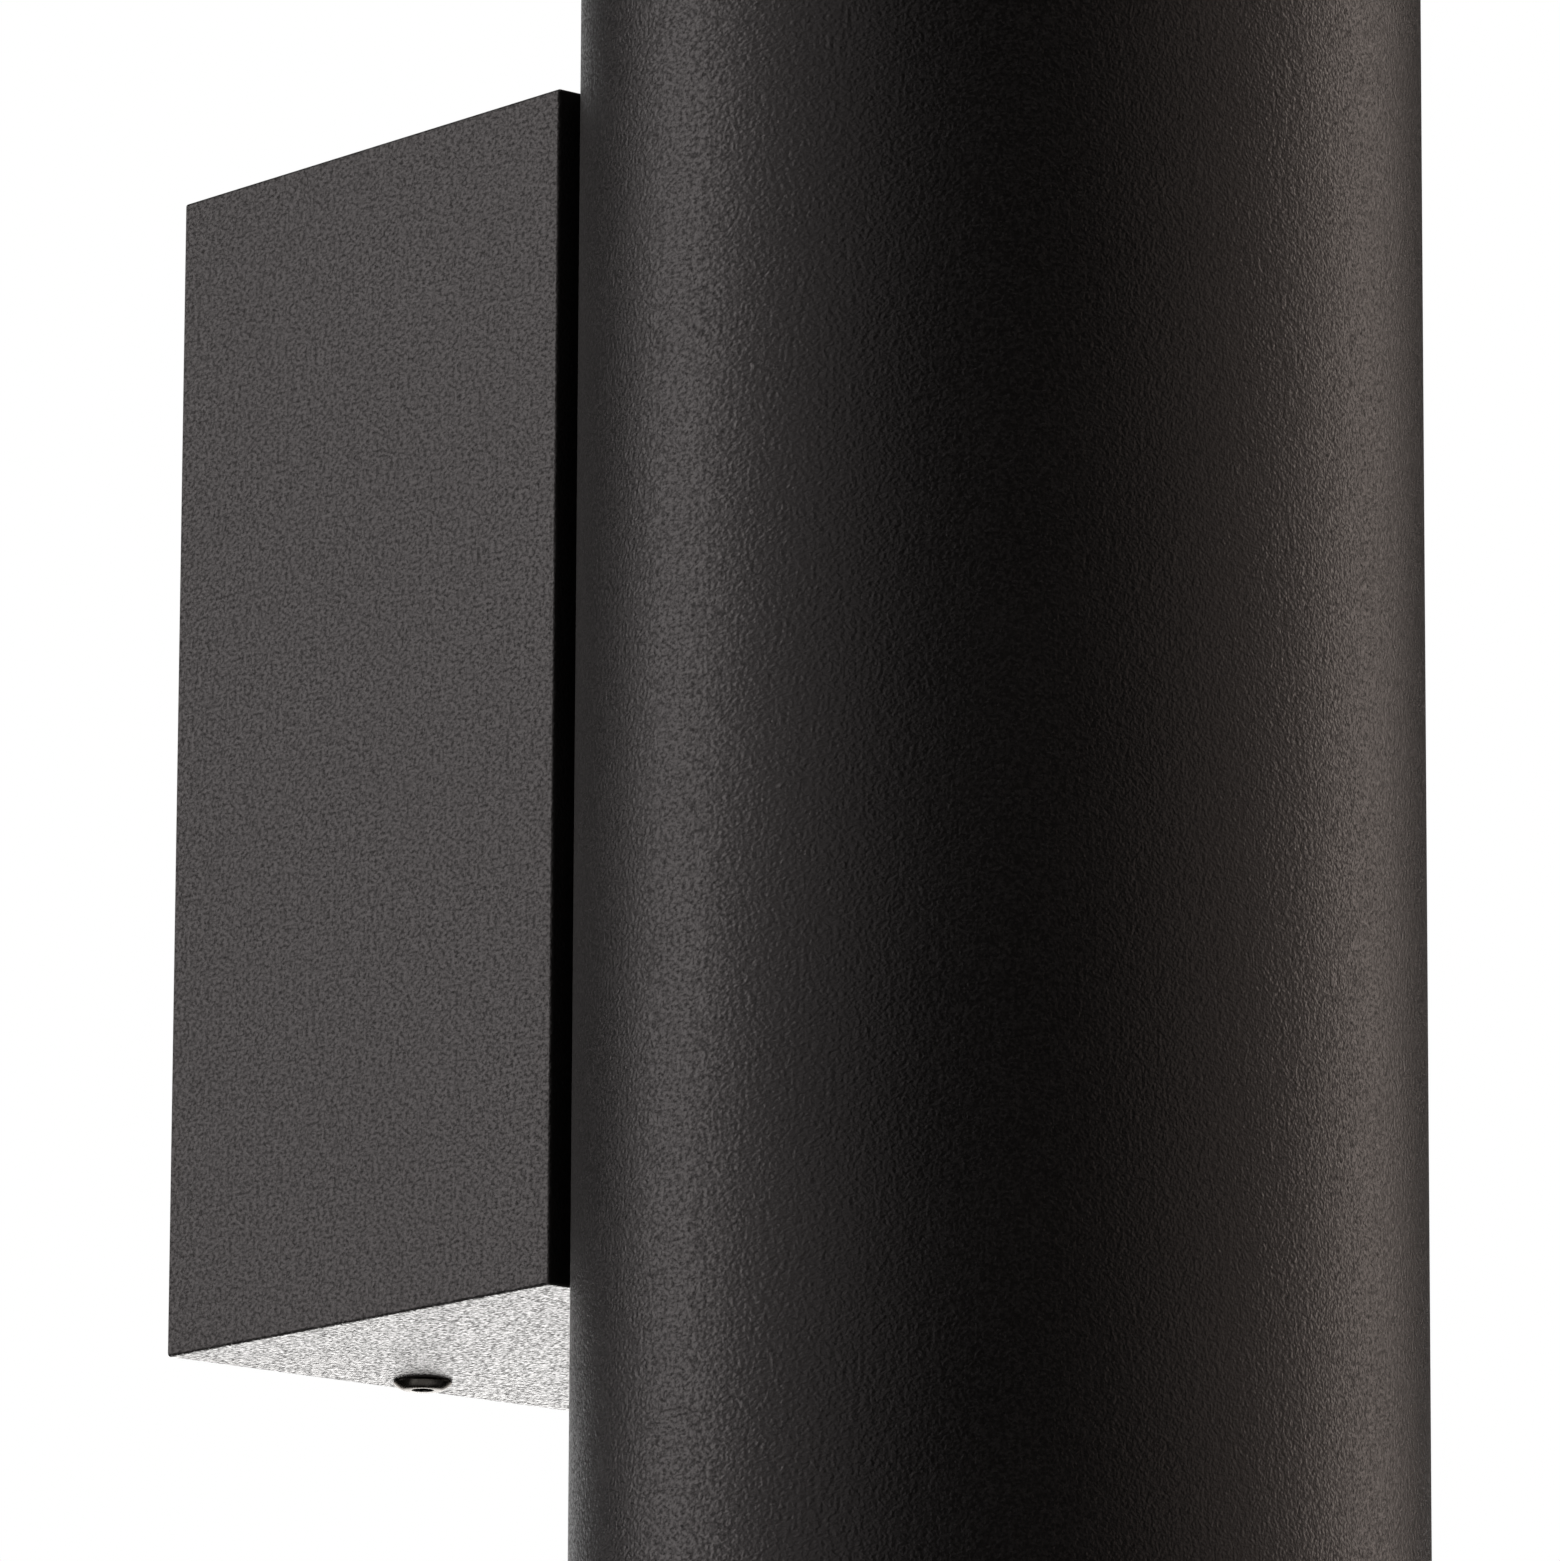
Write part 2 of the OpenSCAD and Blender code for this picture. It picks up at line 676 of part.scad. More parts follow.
module lamp_base() {
    color(WHITE)
    translate([0, 0, SEAT]) difference() {
        rotate_extrude() polygon([
            [0, 0], [base_r - 0.6, 0], [base_r, 0.6], [base_r, base_h - 3],
            [base_r + 1, base_h - 2], [base_r + 1, base_h], [0, base_h]
        ]);
        for (a = [0, 180]) rotate(a) translate([pin_r, 0, -OVER])
            cylinder(d = pin_stem_d + 2 * FIT, h = pin_seat + OVER);
    }
}

module lamp_shell() {
    r = lamp_d / 2;
    waist_r = r - shell_edge;
    z0 = SEAT + base_h;
    z1 = SEAT + lamp_h;
    bowl_z = z0 + 3;
    rim_z = z1 - shell_rim_h;
    color(WHITE)
    difference() {
        rotate_extrude() polygon(concat(
            [[0, z0], [shell_r0 - shell_edge, z0], [shell_r0, z0 + shell_edge]],
            [for (t = [0:10:90]) [mix(shell_r0, waist_r, sin(t)), mix(rim_z, bowl_z, cos(t) * 0.999)]],
            [[waist_r, rim_z + 1], [r, rim_z + 1 + shell_edge]],
            arc([waist_r, z1 - shell_edge], shell_edge, 0, 90, 4), [[0, z1]]));
        translate([0, 0, z1 - lens_sink]) cylinder(r = r - rim_w, h = lens_sink + OVER);
        for (a = [0:20:340]) rotate(a) translate([r - fin_slot_depth, -fin_slot_w / 2, bowl_z + 2])
            cube([fin_slot_depth + OVER, fin_slot_w, rim_z - bowl_z - 3]);
    }
}

module lamp_lens() {
    r = lamp_d / 2 - rim_w - FREE;
    z0 = SEAT + lamp_h - lens_sink;
    big = (r * r + lens_dome * lens_dome) / (2 * lens_dome);
    half = asin(r / big);
    color([0.85, 0.88, 0.9])
    rotate_extrude() polygon(concat(
        [[0, z0], [r, z0]],
        arc([0, z0 + lens_sink - big], big, 90 - half, 90, 8)));
}

module lamp_pins() {
    head_r = pin_head_d / 2;
    stem_r = pin_stem_d / 2;
    color(STEEL)
    for (a = [0, 180]) rotate(a) translate([pin_r, 0, 0]) rotate_extrude() polygon([
        [0, -head_bottom], [head_r - 0.5, -head_bottom], [head_r, -head_bottom + 0.5],
        [head_r, -head_top], [stem_r, -head_top], [stem_r, SEAT + pin_seat], [0, SEAT + pin_seat]
    ]);
}

// Terminal block, on the bracket above the cable hole

module at_terminal() {
    on_bracket(0, term_z) children();
}

module at_poles() {
    for (i = [-1:1]) translate([i * pole_pitch, 0, 0]) children();
}

module at_term_screws() {
    at_poles() for (s = [-1, 1]) translate([0, s * term_screw_y, 0]) children();
}

module at_fixings() {
    for (s = [-1, 1]) translate([s * pole_pitch / 2, 0, 0]) children();
}

module terminal_body() {
    color([0.9, 0.9, 0.86])
    at_terminal() difference() {
        union() {
            translate([-term_w / 2, -term_h / 2, 0]) cube([term_w, term_h, term_base]);
            at_poles() translate([-tower_w / 2, -term_h / 2, 0]) cube([tower_w, term_h, tower_top]);
            at_term_screws() cylinder(r = chimney_r, h = chimney_top);
        }
        at_poles() translate([0, -term_h / 2 - OVER, wire_z]) rotate([-90, 0, 0])
            cylinder(d = clamp_d + 2 * FIT, h = term_h + 2 * OVER);
        at_term_screws() translate([0, 0, wire_z]) cylinder(r = well_r, h = chimney_top);
        at_fixings() {
            translate([0, 0, fix_seat]) cylinder(r = fix_head_r + FREE, h = chimney_top);
            translate([0, 0, -OVER]) cylinder(d = fix_d + 2 * FREE, h = chimney_top);
        }
    }
}

module terminal_clamps() {
    color(BRASS)
    at_terminal() difference() {
        at_poles() translate([0, -term_h / 2 + clamp_end, wire_z]) rotate([-90, 0, 0])
            cylinder(d = clamp_d, h = term_h - 2 * clamp_end);
        at_poles() translate([0, -term_h / 2, wire_z]) rotate([-90, 0, 0])
            cylinder(d = clamp_bore, h = term_h);
        at_term_screws() translate([0, 0, wire_z]) cylinder(d = term_screw_d + 2 * FIT, h = chimney_top);
    }
}

module terminal_screws() {
    tip = wire_z + lead_d / 2 + 0.2;
    top = tower_top + 0.4;
    slot = 0.6;
    color(STEEL)
    at_terminal() at_term_screws() difference() {
        union() {
            translate([0, 0, tip]) cylinder(d = term_screw_d, h = top - tip);
            translate([0, 0, top]) cylinder(r = term_head_r, h = term_head_h);
        }
        translate([-term_head_r - OVER, -slot / 2, top + term_head_h / 2])
            cube([2 * (term_head_r + OVER), slot, term_head_h]);
    }
}

module terminal_fixing_screws() {
    color(STEEL)
    at_terminal() at_fixings() translate([0, 0, fix_seat])
        pan_screw(fix_d, fix_seat + bracket_t - 0.2, fix_head_r, fix_head_h);
}

// Inner leads, each from a holder's contact to a pole of the terminal block

contact_z = face_z - pocket_floor - 0.1;
lane = lead_d / 2 + 0.7;
bend_y = tube_y + web_front - 8;
rise_y = mix(clamp_y, boss_y, 0.78);
clamp_in = term_top - 4;

// Lead of the holder at end (1 upper, -1 lower), on side (-1 live, 1 neutral)
function holder_lead(end, side) =
    let (outer = end > 0 ? 1 : 0, x = side * (pole_pitch + (outer == 1 ? twin : -twin)),
        y = rise_y + (1 - outer) * 2 * lead_d, z = end * lane, x0 = side * pin_r,
        a = [x, y, term_top], b = [x, clamp_y, term_top + 3])
    smooth(concat(
        [[x0, tube_y, end * contact_z], [x0, tube_y, end * (shelf_z - 4)],
            [x0 * 0.9, tube_y + 3, end * (shelf_z - 18)], [x0 * 0.6, mix(tube_y, bend_y, 0.72), end * 24],
            [side * lane, bend_y, z + end * 2.4], [side * lane, bend_y + 7, z],
            [side * lane, mix(bend_y, boss_y, 0.7), z], [side * lane, boss_y + 2.5, z],
            [mix(side * lane, x, 0.5), mix(boss_y, y, outer == 1 ? 0.75 : 0.7), mix(z, term_top, 0.3)]],
        half_loop(a, b, 11), [[x, clamp_y, clamp_in]]), 2);

module live_leads() {
    color([0.35, 0.2, 0.12])
    for (end = [-1, 1]) lead(holder_lead(end, -1), lead_d);
}

module neutral_leads() {
    color([0.2, 0.35, 0.65])
    for (end = [-1, 1]) lead(holder_lead(end, 1), lead_d);
}

// Earth leads, from the middle pole to the two ring tags
tag_lead_y = [-bracket_t - tag_barrel_r, boss_y + tag_barrel_r];
tag_mouth = tag_barrel_x + tag_barrel_l;

function earth_lead(i) =
    let (x = i == 0 ? twin : -twin,
        tip = i == 0 ? [earth_x, tag_lead_y[0], earth_z] : [0, tag_lead_y[1], tube_screw_z],
        a = [x, clamp_y, term_top + 3], b = tip + [0, 0, tag_mouth + 1])
    smooth(concat([[x, clamp_y, clamp_in]], half_loop(a, b, i == 0 ? 7 : 4),
        [tip + [0, 0, tag_barrel_x + 1]]), 3);

module earth_leads() {
    color([0.35, 0.6, 0.15])
    for (i = [0, 1]) lead(earth_lead(i), lead_d);
}

// Crimped ring tag, ring on z = 0, barrel along X
module ring_tag() {
    difference() {
        union() {
            cylinder(r = tag_ring_r, h = tag_t);
            translate([tag_neck_x, -tag_barrel_r, 0])
                cube([tag_barrel_x + 1 - tag_neck_x, 2 * tag_barrel_r, tag_t]);
            translate([tag_barrel_x, 0, tag_barrel_r]) rotate([0, 90, 0])
                cylinder(r = tag_barrel_r, h = tag_barrel_l);
        }
        translate([0, 0, -OVER]) cylinder(r = tube_hole_r, h = tag_t + 2 * OVER);
        translate([tag_barrel_x - 1, 0, tag_barrel_r]) rotate([0, 90, 0])
            cylinder(r = lead_d / 2 + 0.2, h = tag_barrel_l + 2 * OVER);
    }
}

module earth_tags() {
    color(BRASS) {
        on_bracket(earth_x, earth_z) rotate(90) ring_tag();
        translate([0, boss_y, tube_screw_z]) rotate([-90, 0, 0]) rotate(-90) ring_tag();
    }
}

module earth_screw() {
    color(BRASS)
    on_bracket(earth_x, earth_z) translate([0, 0, tag_t + washer_t])
        pan_screw(tube_screw_d, tag_t + washer_t + bracket_t - 0.2, pan_head_r, pan_head_h);
}

module earth_washer() {
    color(STEEL)
    on_bracket(earth_x, earth_z) translate([0, 0, tag_t])
        toothed_washer(tube_hole_r, pan_head_r, washer_t);
}

tube();
wall_box();
wall_bracket();
cover_screws();
saddle_spacer();
lamp_carrier();
clinch_nuts();
tube_screws();
lock_washers();
wire_bushing();
cable_grommet();
at_upper() holder();  // holder_upper
at_lower() holder();  // holder_lower
at_upper() contact_springs();  // contact_springs_upper
at_lower() contact_springs();  // contact_springs_lower
holder_screws();
holder_nuts();
at_upper() lamp_base();  // lamp_base_upper
at_lower() lamp_base();  // lamp_base_lower
at_upper() lamp_shell();  // lamp_shell_upper
at_lower() lamp_shell();  // lamp_shell_lower
at_upper() lamp_lens();  // lamp_lens_upper
at_lower() lamp_lens();  // lamp_lens_lower
at_upper() lamp_pins();  // lamp_pins_upper
at_lower() lamp_pins();  // lamp_pins_lower
terminal_body();
terminal_clamps();
terminal_screws();
terminal_fixing_screws();
live_leads();
neutral_leads();
earth_leads();
earth_tags();
earth_screw();
earth_washer();
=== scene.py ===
"""Finished look of an up-and-down wall lamp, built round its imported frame.

The lamp is an upright round tube in matt black powder coat that nests in the front
of a rectangular wall box. Everything is in metres and in the frame's own axes: X runs
along the wall, Y into the wall and Z up, with the origin on the wall plane.
"""
import logging
import math
from collections.abc import Callable
from dataclasses import dataclass, field
from enum import Enum

import bmesh
import bpy
from mathutils import Matrix, Vector


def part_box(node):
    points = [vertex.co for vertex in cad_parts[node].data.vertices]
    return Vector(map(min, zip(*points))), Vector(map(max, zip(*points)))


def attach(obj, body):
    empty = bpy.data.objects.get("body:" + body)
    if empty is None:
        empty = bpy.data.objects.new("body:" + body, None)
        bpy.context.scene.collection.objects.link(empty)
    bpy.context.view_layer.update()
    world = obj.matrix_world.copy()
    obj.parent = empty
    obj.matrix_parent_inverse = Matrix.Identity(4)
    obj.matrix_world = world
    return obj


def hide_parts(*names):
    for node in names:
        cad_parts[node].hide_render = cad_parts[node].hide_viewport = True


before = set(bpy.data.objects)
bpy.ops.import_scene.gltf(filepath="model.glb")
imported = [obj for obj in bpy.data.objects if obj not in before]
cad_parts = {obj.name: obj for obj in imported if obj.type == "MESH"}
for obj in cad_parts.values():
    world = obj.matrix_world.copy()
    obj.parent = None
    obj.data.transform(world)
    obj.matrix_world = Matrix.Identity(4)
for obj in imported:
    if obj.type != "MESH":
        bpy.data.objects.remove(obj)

MM = 0.001
SCREW_Z = 32.0 * MM
SCREW_HOLE_R = 2.15 * MM
WIRE_HOLE_R = 5.45 * MM
PIN_X = 5.0 * MM
POLE_PITCH = 12.0 * MM
SHEET = 1.5 * MM

Thing = bpy.types.Object
Socket = bpy.types.NodeSocket
Outline = list[tuple[float, float]]
Colour = tuple[float, float, float]

log = logging.getLogger("wall_lamp")


class Body(Enum):
    """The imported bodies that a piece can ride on."""

    FIXTURE = "fixture"
    LAMP_UPPER = "lamp_upper"
    LAMP_LOWER = "lamp_lower"


class End(Enum):
    """The tube's two ends, which hold a lamp each."""

    UPPER = "upper"
    LOWER = "lower"


class Drive(Enum):
    """Kinds of screw head."""

    HEX_BUTTON = "hex_button"
    CROSS_PAN = "cross_pan"
    SLOT_CHEESE = "slot_cheese"


class Slot(Enum):
    """The material slots."""

    MATT_BLACK = "matt_black"
    BLACK_STEEL = "black_steel"
    BLACK_SHEET = "black_sheet"
    ZINC_STEEL = "zinc_steel"
    SPACER_ALUMINIUM = "spacer_aluminium"
    BLACK_RUBBER = "black_rubber"
    HOLDER_CERAMIC = "holder_ceramic"
    BRASS = "brass"
    LAMP_WHITE = "lamp_white"
    LAMP_LENS = "lamp_lens"
    NICKEL = "nickel"
    TERMINAL_PLASTIC = "terminal_plastic"
    BROWN_SLEEVE = "brown_sleeve"
    BLUE_SLEEVE = "blue_sleeve"
    GREEN_SLEEVE = "green_sleeve"


# Node trees of the materials and the world


class Graph:
    """Adds nodes to the node tree of a material or of the world."""

    def __init__(self, owner: bpy.types.Material | bpy.types.World) -> None:
        """Opens the tree.

        Args:
            owner: The material or the world.
        """
        owner.use_nodes = True
        self.nodes = owner.node_tree.nodes
        self.links = owner.node_tree.links

    def add(self, kind: str, **settings: object) -> bpy.types.Node:
        """Adds one node.

        Args:
            kind: Blender's name of the node type.
            settings: Properties to set on the node.

        Returns:
            The new node.
        """
        node = self.nodes.new(kind)
        for key, value in settings.items():
            setattr(node, key, value)
        return node

    def feed(self, socket: Socket, value: object) -> None:
        """Links a socket to a node's output, or sets its value.

        Args:
            socket: The input to fill.
            value: An output socket, a number, a vector or a colour.
        """
        if isinstance(value, Socket):
            self.links.new(socket, value)
        else:
            socket.default_value = (*value, 1.0) if socket.type == "RGBA" and len(value) == 3 else value

    def spread(self, value: Socket, low: object = 0.0, high: object = 1.0,
               start: float = 0.3, end: float = 0.7, curve: str = "LINEAR") -> Socket:
        """Maps a value to a range, clamped at both ends.

        Args:
            value: The value to map.
            low: Result at start.
            high: Result at end.
            start: Value that gives low.
            end: Value that gives high.
            curve: LINEAR or SMOOTHSTEP.

        Returns:
            The mapped value.
        """
        node = self.add("ShaderNodeMapRange", interpolation_type=curve)
        for name, number in (("From Min", start), ("From Max", end), ("To Min", low), ("To Max", high)):
            self.feed(node.inputs[name], number)
        self.feed(node.inputs["Value"], value)
        return node.outputs["Result"]

    def mix(self, kind: str, share: object, first: object, second: object) -> Socket:
        """Mixes two numbers or two colours.

        Args:
            kind: VALUE for numbers, RGBA for colours.
            share: Share of the second.
            first: Number or colour at share 0.
            second: Number or colour at share 1.

        Returns:
            The mixed number or colour.
        """
        node = self.add("ShaderNodeMix", data_type="FLOAT" if kind == "VALUE" else kind)
        self.feed(node.inputs["Factor"], share)
        for name, value in (("A", first), ("B", second)):
            self.feed(next(s for s in node.inputs if s.name == name and s.type == kind), value)
        return next(s for s in node.outputs if s.type == kind)

    def sum(self, first: object, second: object, share: float = 0.5) -> Socket:
        """Adds two heights, the second with its share."""
        return self.mix("VALUE", share, first, second)

    def blend(self, share: object, first: object, second: object) -> Socket:
        """Mixes two colours, the second with its share."""
        return self.mix("RGBA", share, first, second)


class Surface(Graph):
    """Adds nodes to one new material round its Principled shader."""

    def __init__(self, name: str) -> None:
        """Starts a material.

        Args:
            name: Name of the material.
        """
        self.material = bpy.data.materials.new(name)
        super().__init__(self.material)
        self.shader = self.nodes["Principled BSDF"]
        self.place = self.add("ShaderNodeTexCoord").outputs["Object"]

    def noise(self, scale: float, detail: float = 2.0, roughness: float = 0.5,
              stretch: Colour = (1.0, 1.0, 1.0)) -> Socket:
        """Gives cloudy noise in the frame's metres.

        Args:
            scale: Cells per metre.
            detail: Number of finer octaves.
            roughness: Share that each finer octave keeps.
            stretch: Factor for each axis; a small one draws the pattern out along it.

        Returns:
            The noise, round 0.5.
        """
        node = self.add("ShaderNodeTexNoise")
        scaled = self.add("ShaderNodeVectorMath", operation="MULTIPLY")
        self.feed(scaled.inputs[0], self.place)
        self.feed(scaled.inputs[1], stretch)
        for name, value in (("Vector", scaled.outputs["Vector"]), ("Scale", scale), ("Detail", detail),
                            ("Roughness", roughness)):
            self.feed(node.inputs[name], value)
        return node.outputs["Fac"]

    def pebbles(self, scale: float) -> Socket:
        """Gives rounded cells, high at their middles.

        Args:
            scale: Cells per metre.

        Returns:
            The height, from 0 to about 1.
        """
        node = self.add("ShaderNodeTexVoronoi", feature="SMOOTH_F1")
        for name, value in (("Vector", self.place), ("Scale", scale), ("Smoothness", 0.6)):
            self.feed(node.inputs[name], value)
        return self.spread(node.outputs["Distance"], 1.0, 0.0, 0.0, 0.8)

    def bump(self, height: Socket, depth: float) -> Socket:
        """Turns a height into a normal.

        Args:
            height: Height, from 0 to 1.
            depth: Real depth of height 1 in metres.

        Returns:
            The normal.
        """
        node = self.add("ShaderNodeBump")
        self.feed(node.inputs["Height"], height)
        self.feed(node.inputs["Distance"], depth)
        return node.outputs["Normal"]

    def finish(self, **inputs: object) -> bpy.types.Material:
        """Sets the Principled shader's inputs.

        Args:
            inputs: Values by input name, with _ for each space.

        Returns:
            The finished material.
        """
        for key, value in inputs.items():
            self.feed(self.shader.inputs[key.replace("_", " ")], value)
        return self.material


# Finishes


@dataclass(frozen=True)
class PowderCoat:
    """Matt black powder coat with a fine pebbled grain and duller flecks."""

    name: str = "matt_black_powder_coat"
    colour: Colour = (0.0063, 0.0059, 0.0057)
    pale: Colour = (0.0115, 0.0107, 0.0102)
    sheen: Colour = (1.0, 0.92, 0.92)
    roughness: float = 0.33
    fleck_roughness: float = 0.74
    ior: float = 1.5
    grain: float = 3700.0
    fleck_grain: float = 3500.0
    fleck_from: float = 0.44
    fleck_to: float = 0.7
    cloud_grain: float = 28.0
    drift: float = 0.015
    drawn: Colour = (1.0, 0.55, 0.9)
    grain_depth: float = 0.15 * MM

    def material(self) -> bpy.types.Material:
        """Builds the material.

        Returns:
            The material.
        """
        g = Surface(self.name)
        fine = g.noise(self.grain, detail=1.0, roughness=0.4, stretch=self.drawn)
        grain = g.sum(fine, g.noise(0.45 * self.grain, detail=0.0), 0.35)
        cloud = g.noise(self.cloud_grain, detail=3.0)
        flecks = g.noise(self.fleck_grain, detail=2.0, roughness=0.6, stretch=self.drawn)
        glossy = g.spread(cloud, self.roughness - self.drift, self.roughness + self.drift)
        return g.finish(
            Base_Color=g.blend(g.spread(cloud), self.colour, self.pale),
            Roughness=g.spread(flecks, glossy, self.fleck_roughness, self.fleck_from, self.fleck_to),
            IOR=self.ior,
            Specular_Tint=self.sheen,
            Normal=g.bump(grain, self.grain_depth),
        )


@dataclass(frozen=True)
class Metal:
    """Bare or plated metal with rolling or turning marks and faint stains."""

    name: str
    colour: Colour
    stain: Colour
    roughness: float = 0.3
    marks: Colour = (1.0, 1.0, 0.06)
    mark_grain: float = 9000.0
    mark_depth: float = 0.004 * MM
    cloud_grain: float = 140.0
    scratch_grain: float = 1500.0
    scratch_share: float = 0.35
    shinier: float = 0.06
    duller: float = 0.12

    def material(self) -> bpy.types.Material:
        """Builds the material.

        Returns:
            The material.
        """
        g = Surface(self.name)
        marks = g.noise(self.mark_grain, detail=2.0, stretch=self.marks)
        cloud = g.noise(self.cloud_grain, detail=4.0, roughness=0.6)
        across = g.noise(self.scratch_grain, detail=3.0, stretch=self.marks[::-1])
        scratch = g.spread(across, start=0.62, end=0.75)
        tone = g.blend(g.spread(cloud, start=0.4, end=0.75), self.colour, self.stain)
        return g.finish(
            Base_Color=g.blend(g.spread(scratch, 0.0, self.scratch_share, 0.0, 1.0), tone, self.stain),
            Metallic=1.0,
            Roughness=g.spread(
                g.sum(cloud, marks), self.roughness - self.shinier, self.roughness + self.duller),
            Normal=g.bump(marks, self.mark_depth),
        )


@dataclass(frozen=True)
class Coat:
    """Paint, rubber, ceramic or plastic: a coloured surface with its own grain."""

    name: str
    colour: Colour
    shade: Colour
    roughness: float
    grain: float
    grain_depth: float
    specks: Colour | None = None
    speck_scale: float = 900.0
    cloud_grain: float = 60.0
    ior: float = 1.5
    subsurface: float = 0.0
    subsurface_depth: float = 0.5 * MM
    pebble_size: float = 0.4
    pebble_share: float = 0.3
    shinier: float = 0.05
    duller: float = 0.08

    def material(self) -> bpy.types.Material:
        """Builds the material.

        Returns:
            The material.
        """
        g = Surface(self.name)
        cloud = g.noise(self.cloud_grain, detail=4.0)
        fine = g.noise(self.grain, detail=2.0)
        tone = g.blend(g.spread(cloud), self.colour, self.shade)
        low, high = self.roughness - self.shinier, self.roughness + self.duller
        if self.specks:
            speck = g.spread(g.noise(self.speck_scale, detail=1.0), start=0.66, end=0.72)
            tone = g.blend(speck, tone, self.specks)
        return g.finish(
            Base_Color=tone,
            Roughness=g.spread(g.sum(cloud, fine), low, high),
            IOR=self.ior,
            Subsurface_Weight=self.subsurface,
            Subsurface_Scale=self.subsurface_depth,
            Normal=g.bump(
                g.sum(fine, g.pebbles(self.grain * self.pebble_size), self.pebble_share), self.grain_depth),
        )


@dataclass(frozen=True)
class BlackOxide:
    """Oiled black oxide on steel, which stays dark at low angles."""

    name: str = "black_oxide"
    colour: Colour = (0.04, 0.037, 0.034)
    worn: Colour = (0.085, 0.08, 0.074)
    edge: Colour = (0.5, 0.49, 0.48)
    roughness: float = 0.22
    cloud_grain: float = 700.0
    grain: float = 7000.0
    grain_depth: float = 0.008 * MM
    shinier: float = 0.06
    duller: float = 0.16

    def material(self) -> bpy.types.Material:
        """Builds the material.

        Returns:
            The material.
        """
        g = Surface(self.name)
        cloud = g.noise(self.cloud_grain, detail=4.0, roughness=0.6)
        fine = g.noise(self.grain, detail=2.0)
        return g.finish(
            Base_Color=g.blend(g.spread(cloud, start=0.5, end=0.7), self.colour, self.worn),
            Metallic=1.0,
            Roughness=g.spread(
                g.sum(cloud, fine), self.roughness - self.shinier, self.roughness + self.duller),
            Specular_Tint=self.edge,
            Normal=g.bump(fine, self.grain_depth),
        )


@dataclass(frozen=True)
class Sleeve:
    """Soft lead insulation, plain or with a stripe along the lead."""

    name: str
    colour: Colour
    stripe: Colour | None = None
    stripe_turn: float = 0.25
    roughness: float = 0.38
    duller: float = 0.12
    shade: float = 0.75
    cloud_grain: float = 300.0
    grain: float = 2500.0
    grain_depth: float = 0.01 * MM

    def material(self) -> bpy.types.Material:
        """Builds the material.

        Returns:
            The material.
        """
        g = Surface(self.name)
        cloud = g.noise(self.cloud_grain, detail=3.0)
        dark = tuple(self.shade * part for part in self.colour)
        tone = g.blend(g.spread(cloud), self.colour, dark)
        if self.stripe:
            split = g.add("ShaderNodeSeparateXYZ")
            g.feed(split.inputs[0], g.add("ShaderNodeUVMap", uv_map="along").outputs["UV"])
            band = g.add("ShaderNodeMath", operation="PINGPONG")
            g.feed(band.inputs[0], split.outputs["X"])
            g.feed(band.inputs[1], self.stripe_turn)
            tone = g.blend(g.spread(band.outputs[0], start=0.12, end=0.13), tone, self.stripe)
        return g.finish(
            Base_Color=tone,
            Roughness=g.spread(cloud, self.roughness, self.roughness + self.duller),
            Normal=g.bump(g.noise(self.grain), self.grain_depth),
        )


@dataclass(frozen=True)
class ClearLens:
    """Moulded lens plate, clear with a faint haze."""

    name: str = "moulded_lens"
    colour: Colour = (0.93, 0.95, 0.96)
    shade: Colour = (0.9, 0.92, 0.93)
    haze: float = 0.16
    duller: float = 0.08
    dust_share: float = 0.25
    ior: float = 1.55
    clear: float = 0.85
    cloud_grain: float = 160.0
    dust_grain: float = 1400.0
    grain: float = 1200.0
    grain_depth: float = 0.004 * MM

    def material(self) -> bpy.types.Material:
        """Builds the material.

        Returns:
            The material.
        """
        g = Surface(self.name)
        cloud = g.noise(self.cloud_grain, detail=3.0)
        dust = g.spread(g.noise(self.dust_grain, detail=1.0), start=0.62, end=0.75)
        return g.finish(
            Base_Color=g.blend(g.spread(cloud), self.colour, self.shade),
            Roughness=g.sum(g.spread(cloud, self.haze, self.haze + self.duller),
                            g.spread(dust, 0.1, 0.5), self.dust_share),
            IOR=self.ior,
            Transmission_Weight=self.clear,
            Normal=g.bump(g.noise(self.grain), self.grain_depth),
        )


